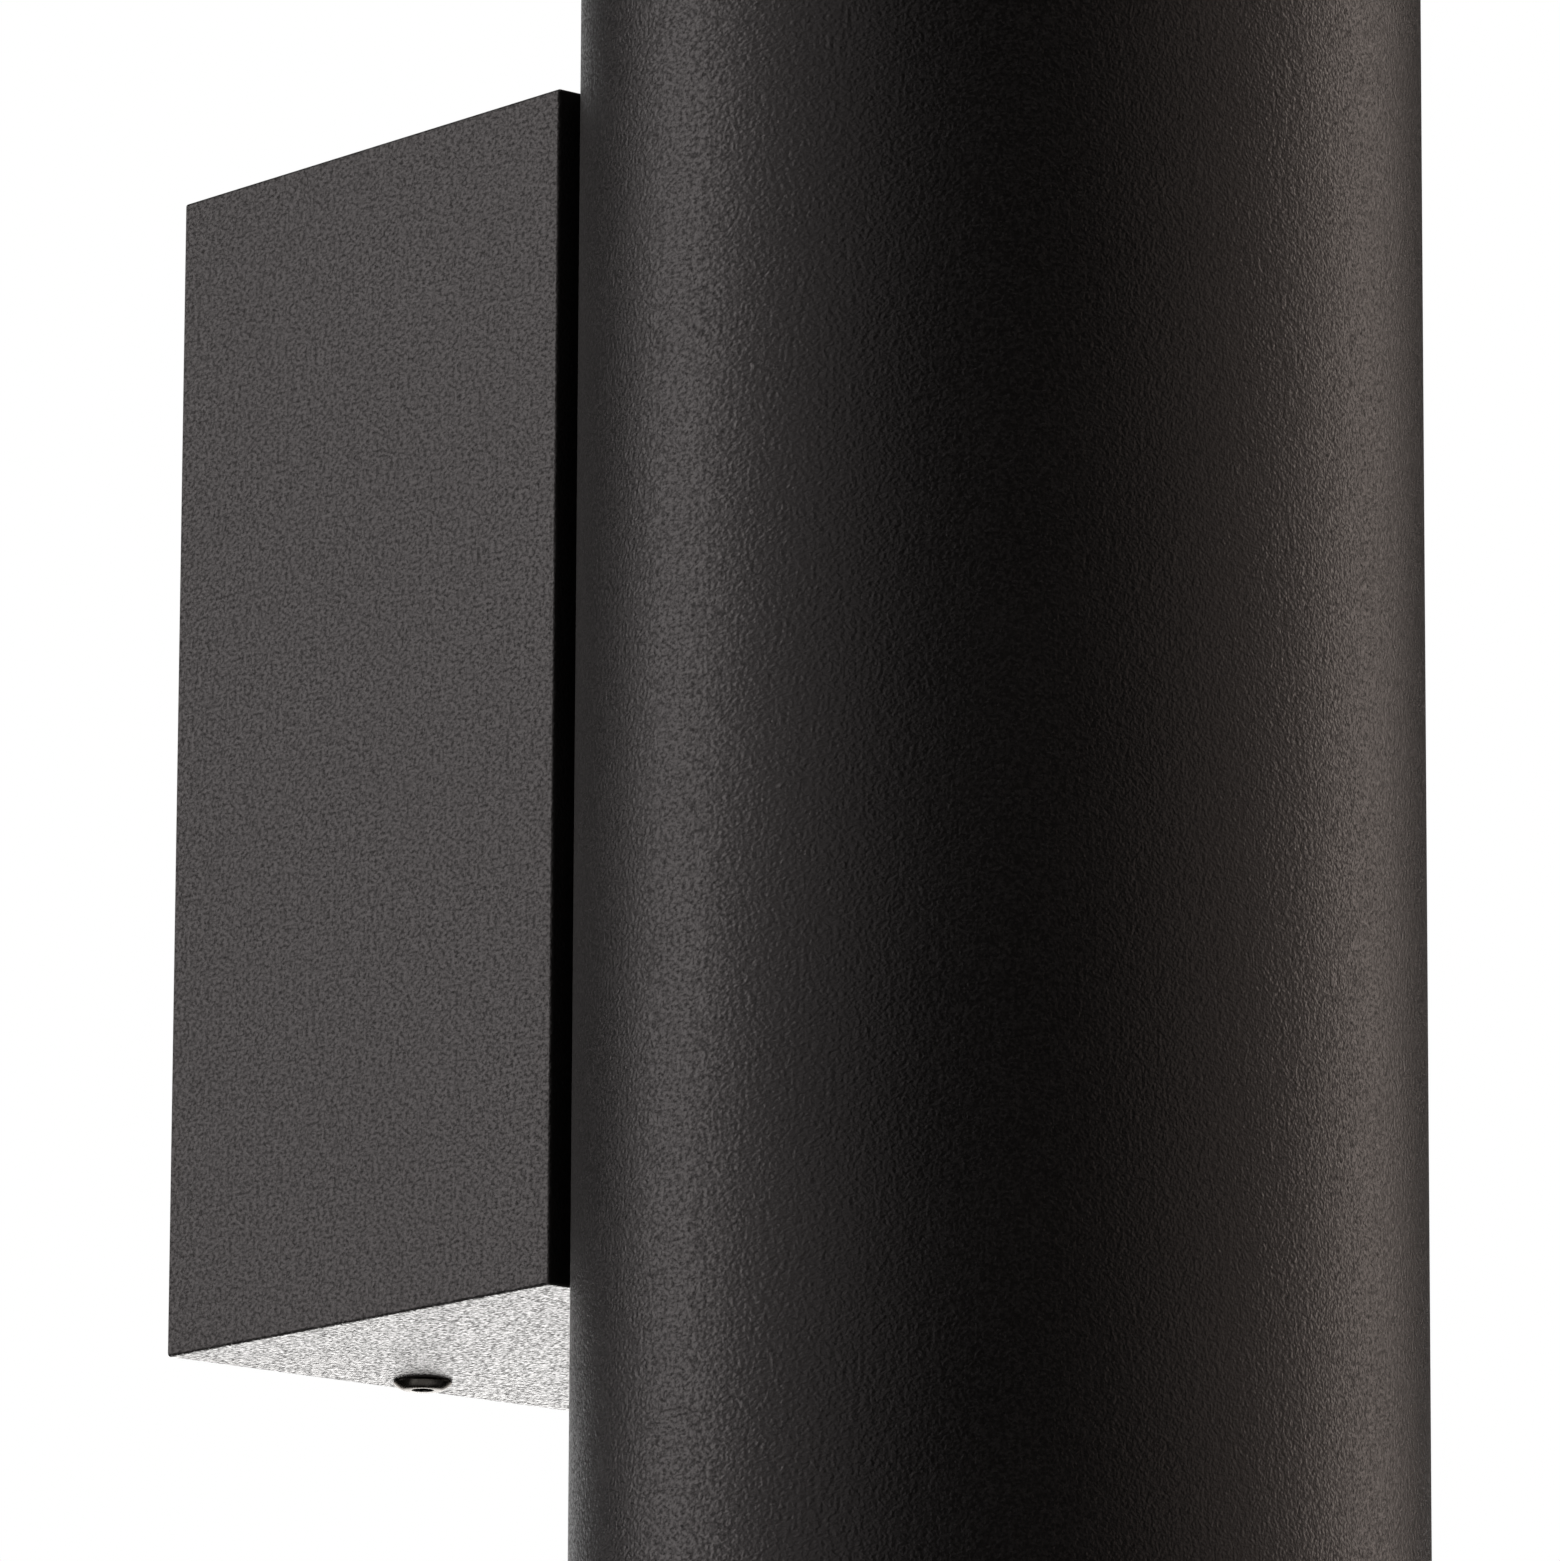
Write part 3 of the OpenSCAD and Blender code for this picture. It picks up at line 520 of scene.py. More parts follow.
class Paints:
    """The lamp's materials, one for each slot and finish."""

    def __init__(self) -> None:
        """Builds every material once."""
        finishes = {
            Slot.MATT_BLACK: PowderCoat(),
            Slot.BLACK_STEEL: BlackOxide(),
            Slot.BLACK_SHEET: Coat(
                "smooth_black_paint", (0.03, 0.03, 0.03), (0.042, 0.041, 0.04), 0.42, 1100.0, 0.02 * MM,
                specks=(0.07, 0.07, 0.07)),
            Slot.ZINC_STEEL: Metal(
                "dull_zinc", (0.42, 0.43, 0.44), (0.31, 0.31, 0.305), 0.56, (0.06, 1.0, 1.0)),
            Slot.SPACER_ALUMINIUM: Metal(
                "extruded_aluminium", (0.72, 0.73, 0.74), (0.58, 0.59, 0.6), 0.32),
            Slot.BLACK_RUBBER: Coat(
                "moulded_rubber", (0.022, 0.022, 0.022), (0.034, 0.034, 0.033), 0.62, 1800.0, 0.03 * MM,
                specks=(0.09, 0.09, 0.088), ior=1.45),
            Slot.HOLDER_CERAMIC: Coat(
                "unglazed_steatite", (0.82, 0.79, 0.72), (0.74, 0.7, 0.62), 0.62, 2600.0, 0.03 * MM,
                specks=(0.42, 0.38, 0.33), speck_scale=1600.0, subsurface=0.1),
            Slot.BRASS: Metal(
                "plain_brass", (0.72, 0.55, 0.27), (0.45, 0.31, 0.14), 0.28),
            Slot.LAMP_WHITE: Coat(
                "satin_white_plastic", (0.85, 0.85, 0.83), (0.8, 0.8, 0.775), 0.36, 1900.0, 0.012 * MM,
                subsurface=0.1),
            Slot.LAMP_LENS: ClearLens(),
            Slot.NICKEL: Metal(
                "nickel_plate", (0.66, 0.65, 0.62), (0.5, 0.48, 0.44), 0.16),
            Slot.TERMINAL_PLASTIC: Coat(
                "white_polyamide", (0.8, 0.8, 0.76), (0.72, 0.71, 0.66), 0.48, 1700.0, 0.02 * MM,
                subsurface=0.15),
            Slot.BROWN_SLEEVE: Sleeve("brown_silicone", (0.2, 0.09, 0.04)),
            Slot.BLUE_SLEEVE: Sleeve("blue_silicone", (0.05, 0.18, 0.5)),
            Slot.GREEN_SLEEVE: Sleeve(
                "green_and_yellow_silicone", (0.16, 0.42, 0.06), (0.8, 0.68, 0.06)),
        }
        self.by_slot = {slot: finish.material() for slot, finish in finishes.items()}
        self.phosphor = Coat(
            "diode_phosphor", (0.82, 0.6, 0.12), (0.74, 0.5, 0.08), 0.5, 3000.0, 0.01 * MM,
            subsurface=0.2).material()

    def __getitem__(self, slot: Slot) -> bpy.types.Material:
        """Gives the material of a slot."""
        return self.by_slot[slot]


# Mesh building


def mesh_object(name: str, bm: bmesh.types.BMesh) -> Thing:
    """Makes an object of a finished bmesh and frees it.

    Args:
        name: Name of the object.
        bm: The geometry, in metres.

    Returns:
        The new object.
    """
    bmesh.ops.recalc_face_normals(bm, faces=bm.faces)
    mesh = bpy.data.meshes.new(name)
    bm.to_mesh(mesh)
    bm.free()
    thing = bpy.data.objects.new(name, mesh)
    bpy.context.scene.collection.objects.link(thing)
    smooth(thing)
    return thing


def smooth(thing: Thing, crease: float = 35.0) -> None:
    """Shades a mesh smooth between its sharp edges.

    Args:
        thing: The object.
        crease: Edges sharper than this angle in degrees stay sharp.
    """
    for face in thing.data.polygons:
        face.use_smooth = True
    thing.data.set_sharp_from_angle(angle=math.radians(crease))


def settle(thing: Thing) -> None:
    """Applies an object's modifiers to its mesh.

    Args:
        thing: The object.
    """
    graph = bpy.context.evaluated_depsgraph_get()
    mesh = bpy.data.meshes.new_from_object(thing.evaluated_get(graph))
    thing.modifiers.clear()
    thing.data = mesh


def flatten(thing: Thing) -> Thing:
    """Lets large faces set the shading normals, so that flat faces look flat.

    Args:
        thing: The object.

    Returns:
        The same object.
    """
    smooth(thing)
    normals = thing.modifiers.new("normals", "WEIGHTED_NORMAL")
    normals.keep_sharp = True
    settle(thing)
    return thing


def weld(thing: Thing, reach: float = 0.004 * MM) -> None:
    """Merges points that a cut leaves on top of each other.

    Args:
        thing: The object.
        reach: Distance within which points are one.
    """
    bm = bmesh.new()
    bm.from_mesh(thing.data)
    bmesh.ops.remove_doubles(bm, verts=bm.verts, dist=reach)
    bmesh.ops.dissolve_degenerate(bm, dist=reach, edges=bm.edges)
    bm.to_mesh(thing.data)
    bm.free()


def carve(thing: Thing, tools: list[Thing], operation: str = "DIFFERENCE") -> None:
    """Cuts tools out of an object, or joins them to it, and removes them.

    Args:
        thing: The object to work on.
        tools: Closed solids.
        operation: DIFFERENCE or UNION.
    """
    for tool in tools:
        cut = thing.modifiers.new("cut", "BOOLEAN")
        cut.operation = operation
        cut.solver = "EXACT"
        cut.object = tool
        settle(thing)
        weld(thing)
        bpy.data.objects.remove(tool)


def gather(name: str, things: list[Thing]) -> Thing:
    """Puts several objects' meshes into one object and removes them.

    Args:
        name: Name of the new object.
        things: The objects.

    Returns:
        The new object.
    """
    bm = bmesh.new()
    for thing in things:
        bm.from_mesh(thing.data)
        bpy.data.objects.remove(thing)
    return mesh_object(name, bm)


def eased(name: str, node: str, width: float, steps: int = 3) -> Thing:
    """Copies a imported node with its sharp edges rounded.

    Args:
        name: Name of the new object.
        node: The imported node.
        width: Width of the rounding.
        steps: Steps in the rounding.

    Returns:
        The new object.
    """
    reach, flat, crease = 0.0005 * MM, math.radians(0.3), math.radians(40.0)
    bm = bmesh.new()
    bm.from_mesh(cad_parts[node].data)
    bmesh.ops.remove_doubles(bm, verts=bm.verts, dist=reach)
    bmesh.ops.dissolve_limit(bm, angle_limit=flat, verts=bm.verts, edges=bm.edges)
    edges = [e for e in bm.edges if e.is_manifold and e.calc_face_angle() > crease]
    bmesh.ops.bevel(bm, geom=edges, offset=width, offset_type="OFFSET", segments=steps, profile=0.5,
                    affect="EDGES", clamp_overlap=False)
    return flatten(mesh_object(name, bm))


def place(thing: Thing, *moves: Matrix) -> Thing:
    """Moves an object's mesh, the last move first.

    Args:
        thing: The object.
        moves: The moves.

    Returns:
        The same object.
    """
    for move in reversed(moves):
        thing.data.transform(move)
    return thing


def shift(x: float, y: float, z: float) -> Matrix:
    """Gives the move by a vector in metres."""
    return Matrix.Translation((x, y, z))


def spin(angle: float, axis: str = "Z") -> Matrix:
    """Gives the turn by an angle in degrees."""
    return Matrix.Rotation(math.radians(angle), 4, axis)


def aim(direction: Vector) -> Matrix:
    """Gives the turn that points Z along a direction."""
    return direction.to_track_quat("Z", "Y").to_matrix().to_4x4()


def round_steps(steps: int) -> list[float]:
    """Lists equal angles round a circle, in radians."""
    return [2 * math.pi * i / steps for i in range(steps)]


def skin(bm: bmesh.types.BMesh, rows: list[list[bmesh.types.BMVert]], ring: bool = False) -> None:
    """Joins rings of points by faces.

    Args:
        bm: The geometry to add to.
        rows: The rings, with as many points in each; a pole is one point repeated.
        ring: True to join the last ring to the first.
    """
    following = rows[1:] + rows[:1] if ring else rows[1:]
    for low, high in zip(rows, following):
        for i in range(len(low)):
            j = (i + 1) % len(low)
            corners = dict.fromkeys((low[i], low[j], high[j], high[i]))
            if len(corners) > 2:
                bm.faces.new(list(corners))


def lathe(name: str, outline: Outline, steps: int, ring: bool = False,
          radius: Callable[[float, float, float], float] | None = None) -> Thing:
    """Turns an outline about Z.

    Args:
        name: Name of the object.
        outline: Points (radius, z) in metres, bottom to top outside.
        steps: Number of steps round.
        ring: True if the outline is closed and stays off the axis.
        radius: Gives the radius from (radius, z, angle) where the surface isn't plain.

    Returns:
        The new object.
    """
    bm = bmesh.new()
    rows = []
    turns = round_steps(steps)
    for r, z in outline:
        if r == 0.0:
            rows.append([bm.verts.new((0.0, 0.0, z))] * steps)
            continue
        reach = [radius(r, z, a) if radius else r for a in turns]
        rows.append([bm.verts.new((s * math.cos(a), s * math.sin(a), z)) for s, a in zip(reach, turns)])
    skin(bm, rows, ring)
    return mesh_object(name, bm)


def round_bar(radius: float, start: Vector, end: Vector, steps: int = 48) -> Thing:
    """Makes a plain round cutter between two points.

    Args:
        radius: Radius in metres.
        start: Middle of one end.
        end: Middle of the other end.
        steps: Number of steps round.

    Returns:
        The cutter.
    """
    length = (end - start).length
    bar = lathe("cutter", [(0.0, 0.0), (radius, 0.0), (radius, length), (0.0, length)], steps)
    return place(bar, Matrix.Translation(start), aim(end - start))


def cross_bar(radius: float, z: float, start: float, end: float, steps: int = 48) -> Thing:
    """Makes a plain round cutter along Y, at a height."""
    return round_bar(radius, Vector((0.0, start, z)), Vector((0.0, end, z)), steps)


def arc(cx: float, cy: float, radius: float, start: float, end: float, steps: int) -> Outline:
    """Lists points on an arc.

    Args:
        cx: First coordinate of the centre.
        cy: Second coordinate of the centre.
        radius: Radius.
        start: First angle in degrees.
        end: Last angle in degrees.
        steps: Number of steps.

    Returns:
        The points, both ends included.
    """
    turns = [math.radians(start + (end - start) * i / steps) for i in range(steps + 1)]
    return [(cx + radius * math.cos(a), cy + radius * math.sin(a)) for a in turns]


def prism(name: str, section: Callable[[float], Outline], low: float, high: float,
          edge: float = 0.0, steps: int = 4) -> Thing:
    """Extrudes an outline along Z, with its two rims rounded.

    Args:
        name: Name of the object.
        section: Gives the outline (x, y), counter-clockwise, moved in by a depth.
        low: Height of the bottom.
        high: Height of the top.
        edge: Radius of the rounded rims.
        steps: Steps in each rounding.

    Returns:
        The new object.
    """
    turns = [math.radians(90 * i / steps) for i in range(steps + 1)] if edge else []
    levels = [(edge * (1 - math.cos(a)), edge * (1 - math.sin(a))) for a in turns] or [(0.0, 0.0)]
    bm = bmesh.new()
    rows = []
    for depth, z in [(d, low + h) for d, h in reversed(levels)] + [(d, high - h) for d, h in levels]:
        rows.append([bm.verts.new((x, y, z)) for x, y in section(depth)])
    skin(bm, rows)
    bm.faces.new(rows[0])
    bm.faces.new(rows[-1])
    return mesh_object(name, bm)


def curve_through(points: list[Vector], steps: int) -> list[Vector]:
    """Lists points on the smooth curve through given points.

    Args:
        points: The points.
        steps: Steps between two of them.

    Returns:
        The curve's points.
    """
    curve = []
    last = len(points) - 1
    for i in range(last):
        a, b, c, d = points[max(i - 1, 0)], points[i], points[i + 1], points[min(i + 2, last)]
        for k in range(steps):
            t = k / steps
            curve.append(0.5 * (
                2 * b + (c - a) * t + (2 * a - 5 * b + 4 * c - d) * t * t
                + (3 * b - a - 3 * c + d) * t * t * t))
    return curve + [points[last]]


def sweep(name: str, path: list[Vector], radius: float, sides: int = 16) -> Thing:
    """Sweeps a circle along a path, with a UV map of share round and length along.

    Args:
        name: Name of the object.
        path: Points of the path.
        radius: Radius of the circle.
        sides: Number of sides.

    Returns:
        The new object.
    """
    bm = bmesh.new()
    along = bm.loops.layers.uv.new("along")
    rows, lengths = [], [0.0]
    side = (path[1] - path[0]).cross(Vector((0.3, 0.9, 0.31))).normalized()
    for i, point in enumerate(path):
        ahead = (path[min(i + 1, len(path) - 1)] - path[max(i - 1, 0)]).normalized()
        side = (side - ahead * side.dot(ahead)).normalized()
        over = ahead.cross(side)
        spots = [point + radius * (math.cos(a) * side + math.sin(a) * over) for a in round_steps(sides)]
        rows.append([bm.verts.new(spot) for spot in spots])
        if i:
            lengths.append(lengths[-1] + (point - path[i - 1]).length)
    for i in range(len(rows) - 1):
        for k in range(sides):
            j = (k + 1) % sides
            face = bm.faces.new((rows[i][k], rows[i][j], rows[i + 1][j], rows[i + 1][k]))
            corners = ((k, i), (k + 1, i), (k + 1, i + 1), (k, i + 1))
            for loop, (u, v) in zip(face.loops, corners):
                loop[along].uv = (u / sides, lengths[v])
    bm.faces.new(rows[0])
    bm.faces.new(rows[-1])
    return mesh_object(name, bm)


def dress(node: str, material: bpy.types.Material) -> None:
    """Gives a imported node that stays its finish.

    Args:
        node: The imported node.
        material: Its finish.
    """
    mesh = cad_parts[node].data
    if not mesh.materials:
        mesh.materials.append(material)
    for i in range(len(mesh.materials)):
        mesh.materials[i] = material
    log.info("%s keeps its packed shape", node)


@dataclass
class Assembly:
    """A sub-assembly, whose pieces ride on one body."""

    paints: Paints

    @property
    def body(self) -> Body:
        """The body that its pieces ride on."""
        return Body.FIXTURE

    def build(self) -> None:
        """Builds and dresses the pieces."""
        raise NotImplementedError

    def show(self, thing: Thing, slot: Slot, *nodes: str,
             material: bpy.types.Material | None = None) -> None:
        """Dresses a piece, puts it on the body and hides the nodes that it stands for.

        Args:
            thing: The piece.
            slot: The material slot that gives its finish.
            nodes: CAD nodes that it stands for.
            material: Its finish, where that isn't the slot's own.
        """
        thing.data.materials.clear()
        thing.data.materials.append(material or self.paints[slot])
        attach(thing, self.body.value)
        if nodes:
            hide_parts(*nodes)
        log.info("%s rides on %s", thing.name, self.body.value)

    def show_eased(self, name: str, node: str, width: float, slot: Slot, steps: int = 3) -> None:
        """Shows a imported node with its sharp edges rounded."""
        self.show(eased(name, node, width, steps), slot, node)


# Screws


@dataclass
class Screw:
    """A machine screw, head up, with its seat at z = 0."""

    drive: Drive
    thread: float
    length: float
    head_d: float
    head_h: float
    steps: int = 48

    def head_outline(self) -> Outline:
        """Draws half of the head from its middle below to its middle on top.

        Returns:
            The points (radius, z).
        """
        r, h = self.head_d / 2, self.head_h
        if self.drive is Drive.HEX_BUTTON:
            edge, flat, rim = 0.08 * MM, 0.66 * r, 0.25 * h
            lean, half_span = math.degrees(math.atan2(h - rim, r - flat)), 17.0
            big = math.hypot(r - flat, h - rim) / (2 * math.sin(math.radians(half_span)))
            first, last = 90 - lean - half_span, 90 - lean + half_span
            cx, cz = r - big * math.cos(math.radians(first)), rim - big * math.sin(math.radians(first))
            return [(0.0, 0.0), (r - edge, 0.0), (r, edge)] + arc(cx, cz, big, first, last, 8) + [(0.0, h)]
        if self.drive is Drive.CROSS_PAN:
            edge, top = 0.1 * MM, 0.55 * h
            dome = arc(r - top, h - top, top, 0, 90, 8)
            return [(0.0, 0.0), (r - edge, 0.0), (r, edge)] + dome + [(0.0, h)]
        edge = 0.15 * MM
        side = arc(r - edge, edge, edge, -90, 0, 3) + arc(r - edge, h - edge, edge, 0, 90, 3)
        return [(0.0, 0.0)] + side + [(0.0, h)]

    def cutters(self) -> list[Thing]:
        """Makes the cutters of the driver's recess.

        Returns:
            Closed solids to cut out of the head.
        """
        h = self.head_h
        if self.drive is Drive.HEX_BUTTON:
            r, over = 0.75 * self.thread / 2, h + 0.2 * MM
            floor, mouth = h - 0.12 * MM, 0.9 * r
            hexagon = [(0.0, 0.3 * h), (r, 0.42 * h), (r, over), (0.0, over)]
            lead_in = [(0.0, floor), (mouth, floor), (mouth + 0.3 * MM, over), (0.0, over)]
            return [lathe("hexagon", hexagon, 6), lathe("lead_in", lead_in, self.steps)]
        if self.drive is Drive.CROSS_PAN:
            wide, thin, deep = 0.55 * self.head_d / 2, 0.13 * self.head_d / 2, 0.6 * h
            tip, over, foot = 0.35 * wide, h + 0.1 * MM, h - deep
            wing = [(-wide, over), (wide, over), (tip, foot), (-tip, foot)][::-1]
            return [place(prism("wing", lambda _: wing, -thin, thin), spin(turn), spin(90, "X"))
                    for turn in (0, 90)]
        thin = 0.3 * MM
        bar = [(-self.head_d, 0.5 * h), (self.head_d, 0.5 * h), (self.head_d, 2 * h), (-self.head_d, 2 * h)]
        return [place(prism("slot", lambda _: bar, -thin, thin), spin(90, "X"))]

    def shank(self) -> Thing:
        """Makes the threaded shank, a real helix with its pitch near the coarse series.

        Returns:
            The shank.
        """
        pitch = 0.098 * self.thread + 0.21 * MM
        deep = 0.55 * pitch
        sides, fine = 24, 8
        rows = max(int(self.length / pitch * fine), fine)
        overlap = 0.15 * MM
        rise = (self.length + overlap) / rows
        outline = [(self.thread / 2, i * rise - self.length) for i in range(rows + 1)]

        def helix(r: float, z: float, angle: float) -> float:
            """Sinks the radius into the thread.

            Args:
                r: Radius of the crests.
                z: Height.
                angle: Angle in radians.

            Returns:
                The thread's radius there.
            """
            wave = 0.5 + 0.5 * math.cos(2 * math.pi * (z / pitch) - angle)
            tip = max(0.0, 1.0 - (z + self.length) / pitch) * 0.8 * deep
            return min(r - deep * wave, r - tip)

        core = [(0.0, -self.length)] + outline + [(0.0, overlap)]
        return lathe("shank", core, sides, radius=helix)

    def build(self) -> Thing:
        """Builds the screw.

        Returns:
            The screw, as one object.
        """
        head = lathe("head", self.head_outline(), self.steps)
        carve(head, self.cutters())
        return gather("screw", [head, self.shank()])


# The lamp's own pieces


@dataclass
class RoundTube(Assembly):
    """The large upright tube."""

    wall: float = 2.0 * MM
    edge: float = 0.4 * MM
    band: float = 50.0 * MM
    past: float = 2.0 * MM
    steps: int = 288

    def build(self) -> None:
        """Builds and dresses the tube."""
        low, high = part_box("tube")
        radius, half = (high.x - low.x) / 2, (high.z - low.z) / 2
        inner = radius - self.wall
        e, band = self.edge, self.band
        outline = (
            arc(radius - e, -half + e, e, -90, 0, 4) + [(radius, -band), (radius, band)]
            + arc(radius - e, half - e, e, 0, 90, 4) + arc(inner + e, half - e, e, 90, 180, 4)
            + [(inner, band), (inner, -band)] + arc(inner + e, -half + e, e, 180, 270, 4)
        )
        tube = lathe("tube_shell", outline, self.steps, ring=True)
        holes = ((SCREW_HOLE_R, SCREW_Z), (SCREW_HOLE_R, -SCREW_Z), (WIRE_HOLE_R, 0.0))
        carve(tube, [cross_bar(r, z, inner - self.past, radius + self.past) for r, z in holes])
        flatten(place(tube, shift(0.0, (low.y + high.y) / 2, 0.0)))
        self.show(tube, Slot.MATT_BLACK, "tube")


@dataclass
class WallBox(Assembly):
    """The rectangular box behind the tube, cut to a saddle for it, with its screws."""

    wall: float = 2.0 * MM
    edge: float = 0.36 * MM
    saddle_gap: float = 0.1 * MM
    saddle_steps: int = 60
    boss_h: float = 1.6 * MM
    boss_sunk: float = 0.5 * MM
    screw_boss_r: float = 5.2 * MM
    wire_boss_r: float = 8.2 * MM
    cover_hole_r: float = 1.65 * MM
    cover_screw_y: float = -4.9 * MM
    cover_thread: float = 3.0 * MM
    cover_length: float = 8.0 * MM
    low: Vector = field(init=False)
    high: Vector = field(init=False)
    tube: Vector = field(init=False)
    tube_r: float = field(init=False)

    def __post_init__(self) -> None:
        """Reads the corners of the box, and the tube's middle and radius, from the frame."""
        self.low, self.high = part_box("wall_box")
        low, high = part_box("tube")
        self.tube, self.tube_r = (low + high) / 2, high.x

    def saddle(self, radius: float, front: float) -> Outline:
        """Draws the saddle's arc, from left to right.

        Args:
            radius: Radius of the arc.
            front: Distance from the wall to the front that it cuts.

        Returns:
            The points.
        """
        span = math.degrees(math.asin(math.sqrt(radius * radius - (front + self.tube.y) ** 2) / radius))
        return arc(self.tube.x, self.tube.y, radius, 90 + span, 90 - span, self.saddle_steps)

    def outline(self, inset: float) -> Outline:
        """Draws the box from above, from its open back round the saddle.

        Args:
            inset: How far the sides and the front are moved in.

        Returns:
            The points, counter-clockwise.
        """
        side, front = self.high.x - inset, -self.low.y - inset
        corner = max(self.edge - inset, 0.02 * MM)
        return (
            [(side, 0.0), (-side, 0.0)] + arc(-side + corner, -front + corner, corner, 180, 270, 5)
            + self.saddle(self.tube_r + self.saddle_gap + 0.15 * inset, front)
            + arc(side - corner, -front + corner, corner, 270, 360, 5)
        )

    def cavity(self) -> Outline:
        """Draws the hollow inside, open at the back.

        Returns:
            The points, counter-clockwise.
        """
        side, front = self.high.x - self.wall, -self.low.y - self.wall
        saddle = self.saddle(self.tube_r + self.saddle_gap + self.wall, front)
        return [(side, MM), (-side, MM), (-side, -front)] + saddle + [(side, -front)]

    def build(self) -> None:
        """Builds and dresses the box and the two screws that hold it on its bracket."""
        top = self.high.z
        box = prism("box_shell", self.outline, self.low.z, top, self.edge)
        hollow = top - self.wall
        carve(box, [prism("hollow", lambda _: self.cavity(), -hollow, hollow)])
        front = self.tube.y + self.tube_r + self.saddle_gap
        back = front + self.wall + self.boss_h
        spots = [(self.screw_boss_r, SCREW_HOLE_R, z) for z in (-SCREW_Z, SCREW_Z)]
        spots.append((self.wire_boss_r, WIRE_HOLE_R, 0.0))
        carve(box, [cross_bar(r, z, front + self.boss_sunk, back, 64) for r, _, z in spots], "UNION")
        carve(box, [cross_bar(r, z, front - 2 * MM, back + MM) for _, r, z in spots])
        y, past = self.cover_screw_y, top + MM
        carve(box, [round_bar(self.cover_hole_r, Vector((0.0, y, -past)), Vector((0.0, y, past)))])
        self.show(flatten(box), Slot.MATT_BLACK, "wall_box")
        low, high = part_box("cover_screws")
        head_d, head_h = high.x - low.x, high.z - top
        screw = Screw(Drive.HEX_BUTTON, self.cover_thread, self.cover_length, head_d, head_h, 64)
        screws = [place(screw.build(), shift(0.0, y, 0.0), spin(turn, "X"), shift(0.0, 0.0, top))
                  for turn in (0, 180)]
        self.show(gather("cover_screw_pair", screws), Slot.BLACK_STEEL, "cover_screws")


@dataclass
class WallBracket(Assembly):
    """The folded steel bracket, its grommet and its earth point."""

    edge: float = 0.2 * MM
    tag_edge: float = 0.08 * MM
    bore: float = 4.5 * MM
    neck: float = 7.9 * MM
    lip: float = 10.1 * MM
    lip_round: float = 0.6 * MM
    groove_round: float = 0.3 * MM
    dish: float = 2.0 * MM
    earth_thread: float = 4.0 * MM
    earth_head_h: float = 2.4 * MM

    def grommet(self) -> Thing:
        """Makes the rubber grommet, with a rounded lip on each side of the sheet.

        Returns:
            The grommet.
        """
        low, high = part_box("cable_grommet")
        back, front = -high.y, -low.y
        groove_a, groove_b = self.dish, self.dish + SHEET
        bore, lip, r, c = self.bore, self.lip, self.lip_round, self.groove_round
        outline = (
            arc(bore + r, back + r, r, 180, 270, 5) + arc(lip - r, back + r, r, -90, 0, 5)
            + arc(lip - c, groove_a - c, c, 0, 90, 3) + [(self.neck, groove_a), (self.neck, groove_b)]
            + arc(lip - c, groove_b + c, c, -90, 0, 3)
            + arc(lip - 2 * r, front - 2 * r, 2 * r, 0, 90, 6) + arc(bore + r, front - r, r, 90, 180, 5)
        )
        thing = lathe("rubber_grommet", outline, 96, ring=True)
        return place(thing, shift(0.0, 0.0, (low.z + high.z) / 2), spin(90, "X"))

    def build(self) -> None:
        """Builds and dresses the bracket and what is fixed to it."""
        self.show_eased("folded_bracket", "wall_bracket", self.edge, Slot.ZINC_STEEL)
        self.show(self.grommet(), Slot.BLACK_RUBBER, "cable_grommet")
        self.show_eased("ring_tags", "earth_tags", self.tag_edge, Slot.BRASS, 2)
        low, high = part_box("earth_screw")
        head_d, head_h = high.x - low.x, self.earth_head_h
        screw = Screw(Drive.CROSS_PAN, self.earth_thread, high.y - low.y - head_h, head_d, head_h).build()
        place(screw, shift((low.x + high.x) / 2, low.y + head_h, (low.z + high.z) / 2), spin(90, "X"))
        screw.name = "earth_point_screw"
        self.show(screw, Slot.BRASS, "earth_screw")
        dress("earth_washer", self.paints[Slot.ZINC_STEEL])


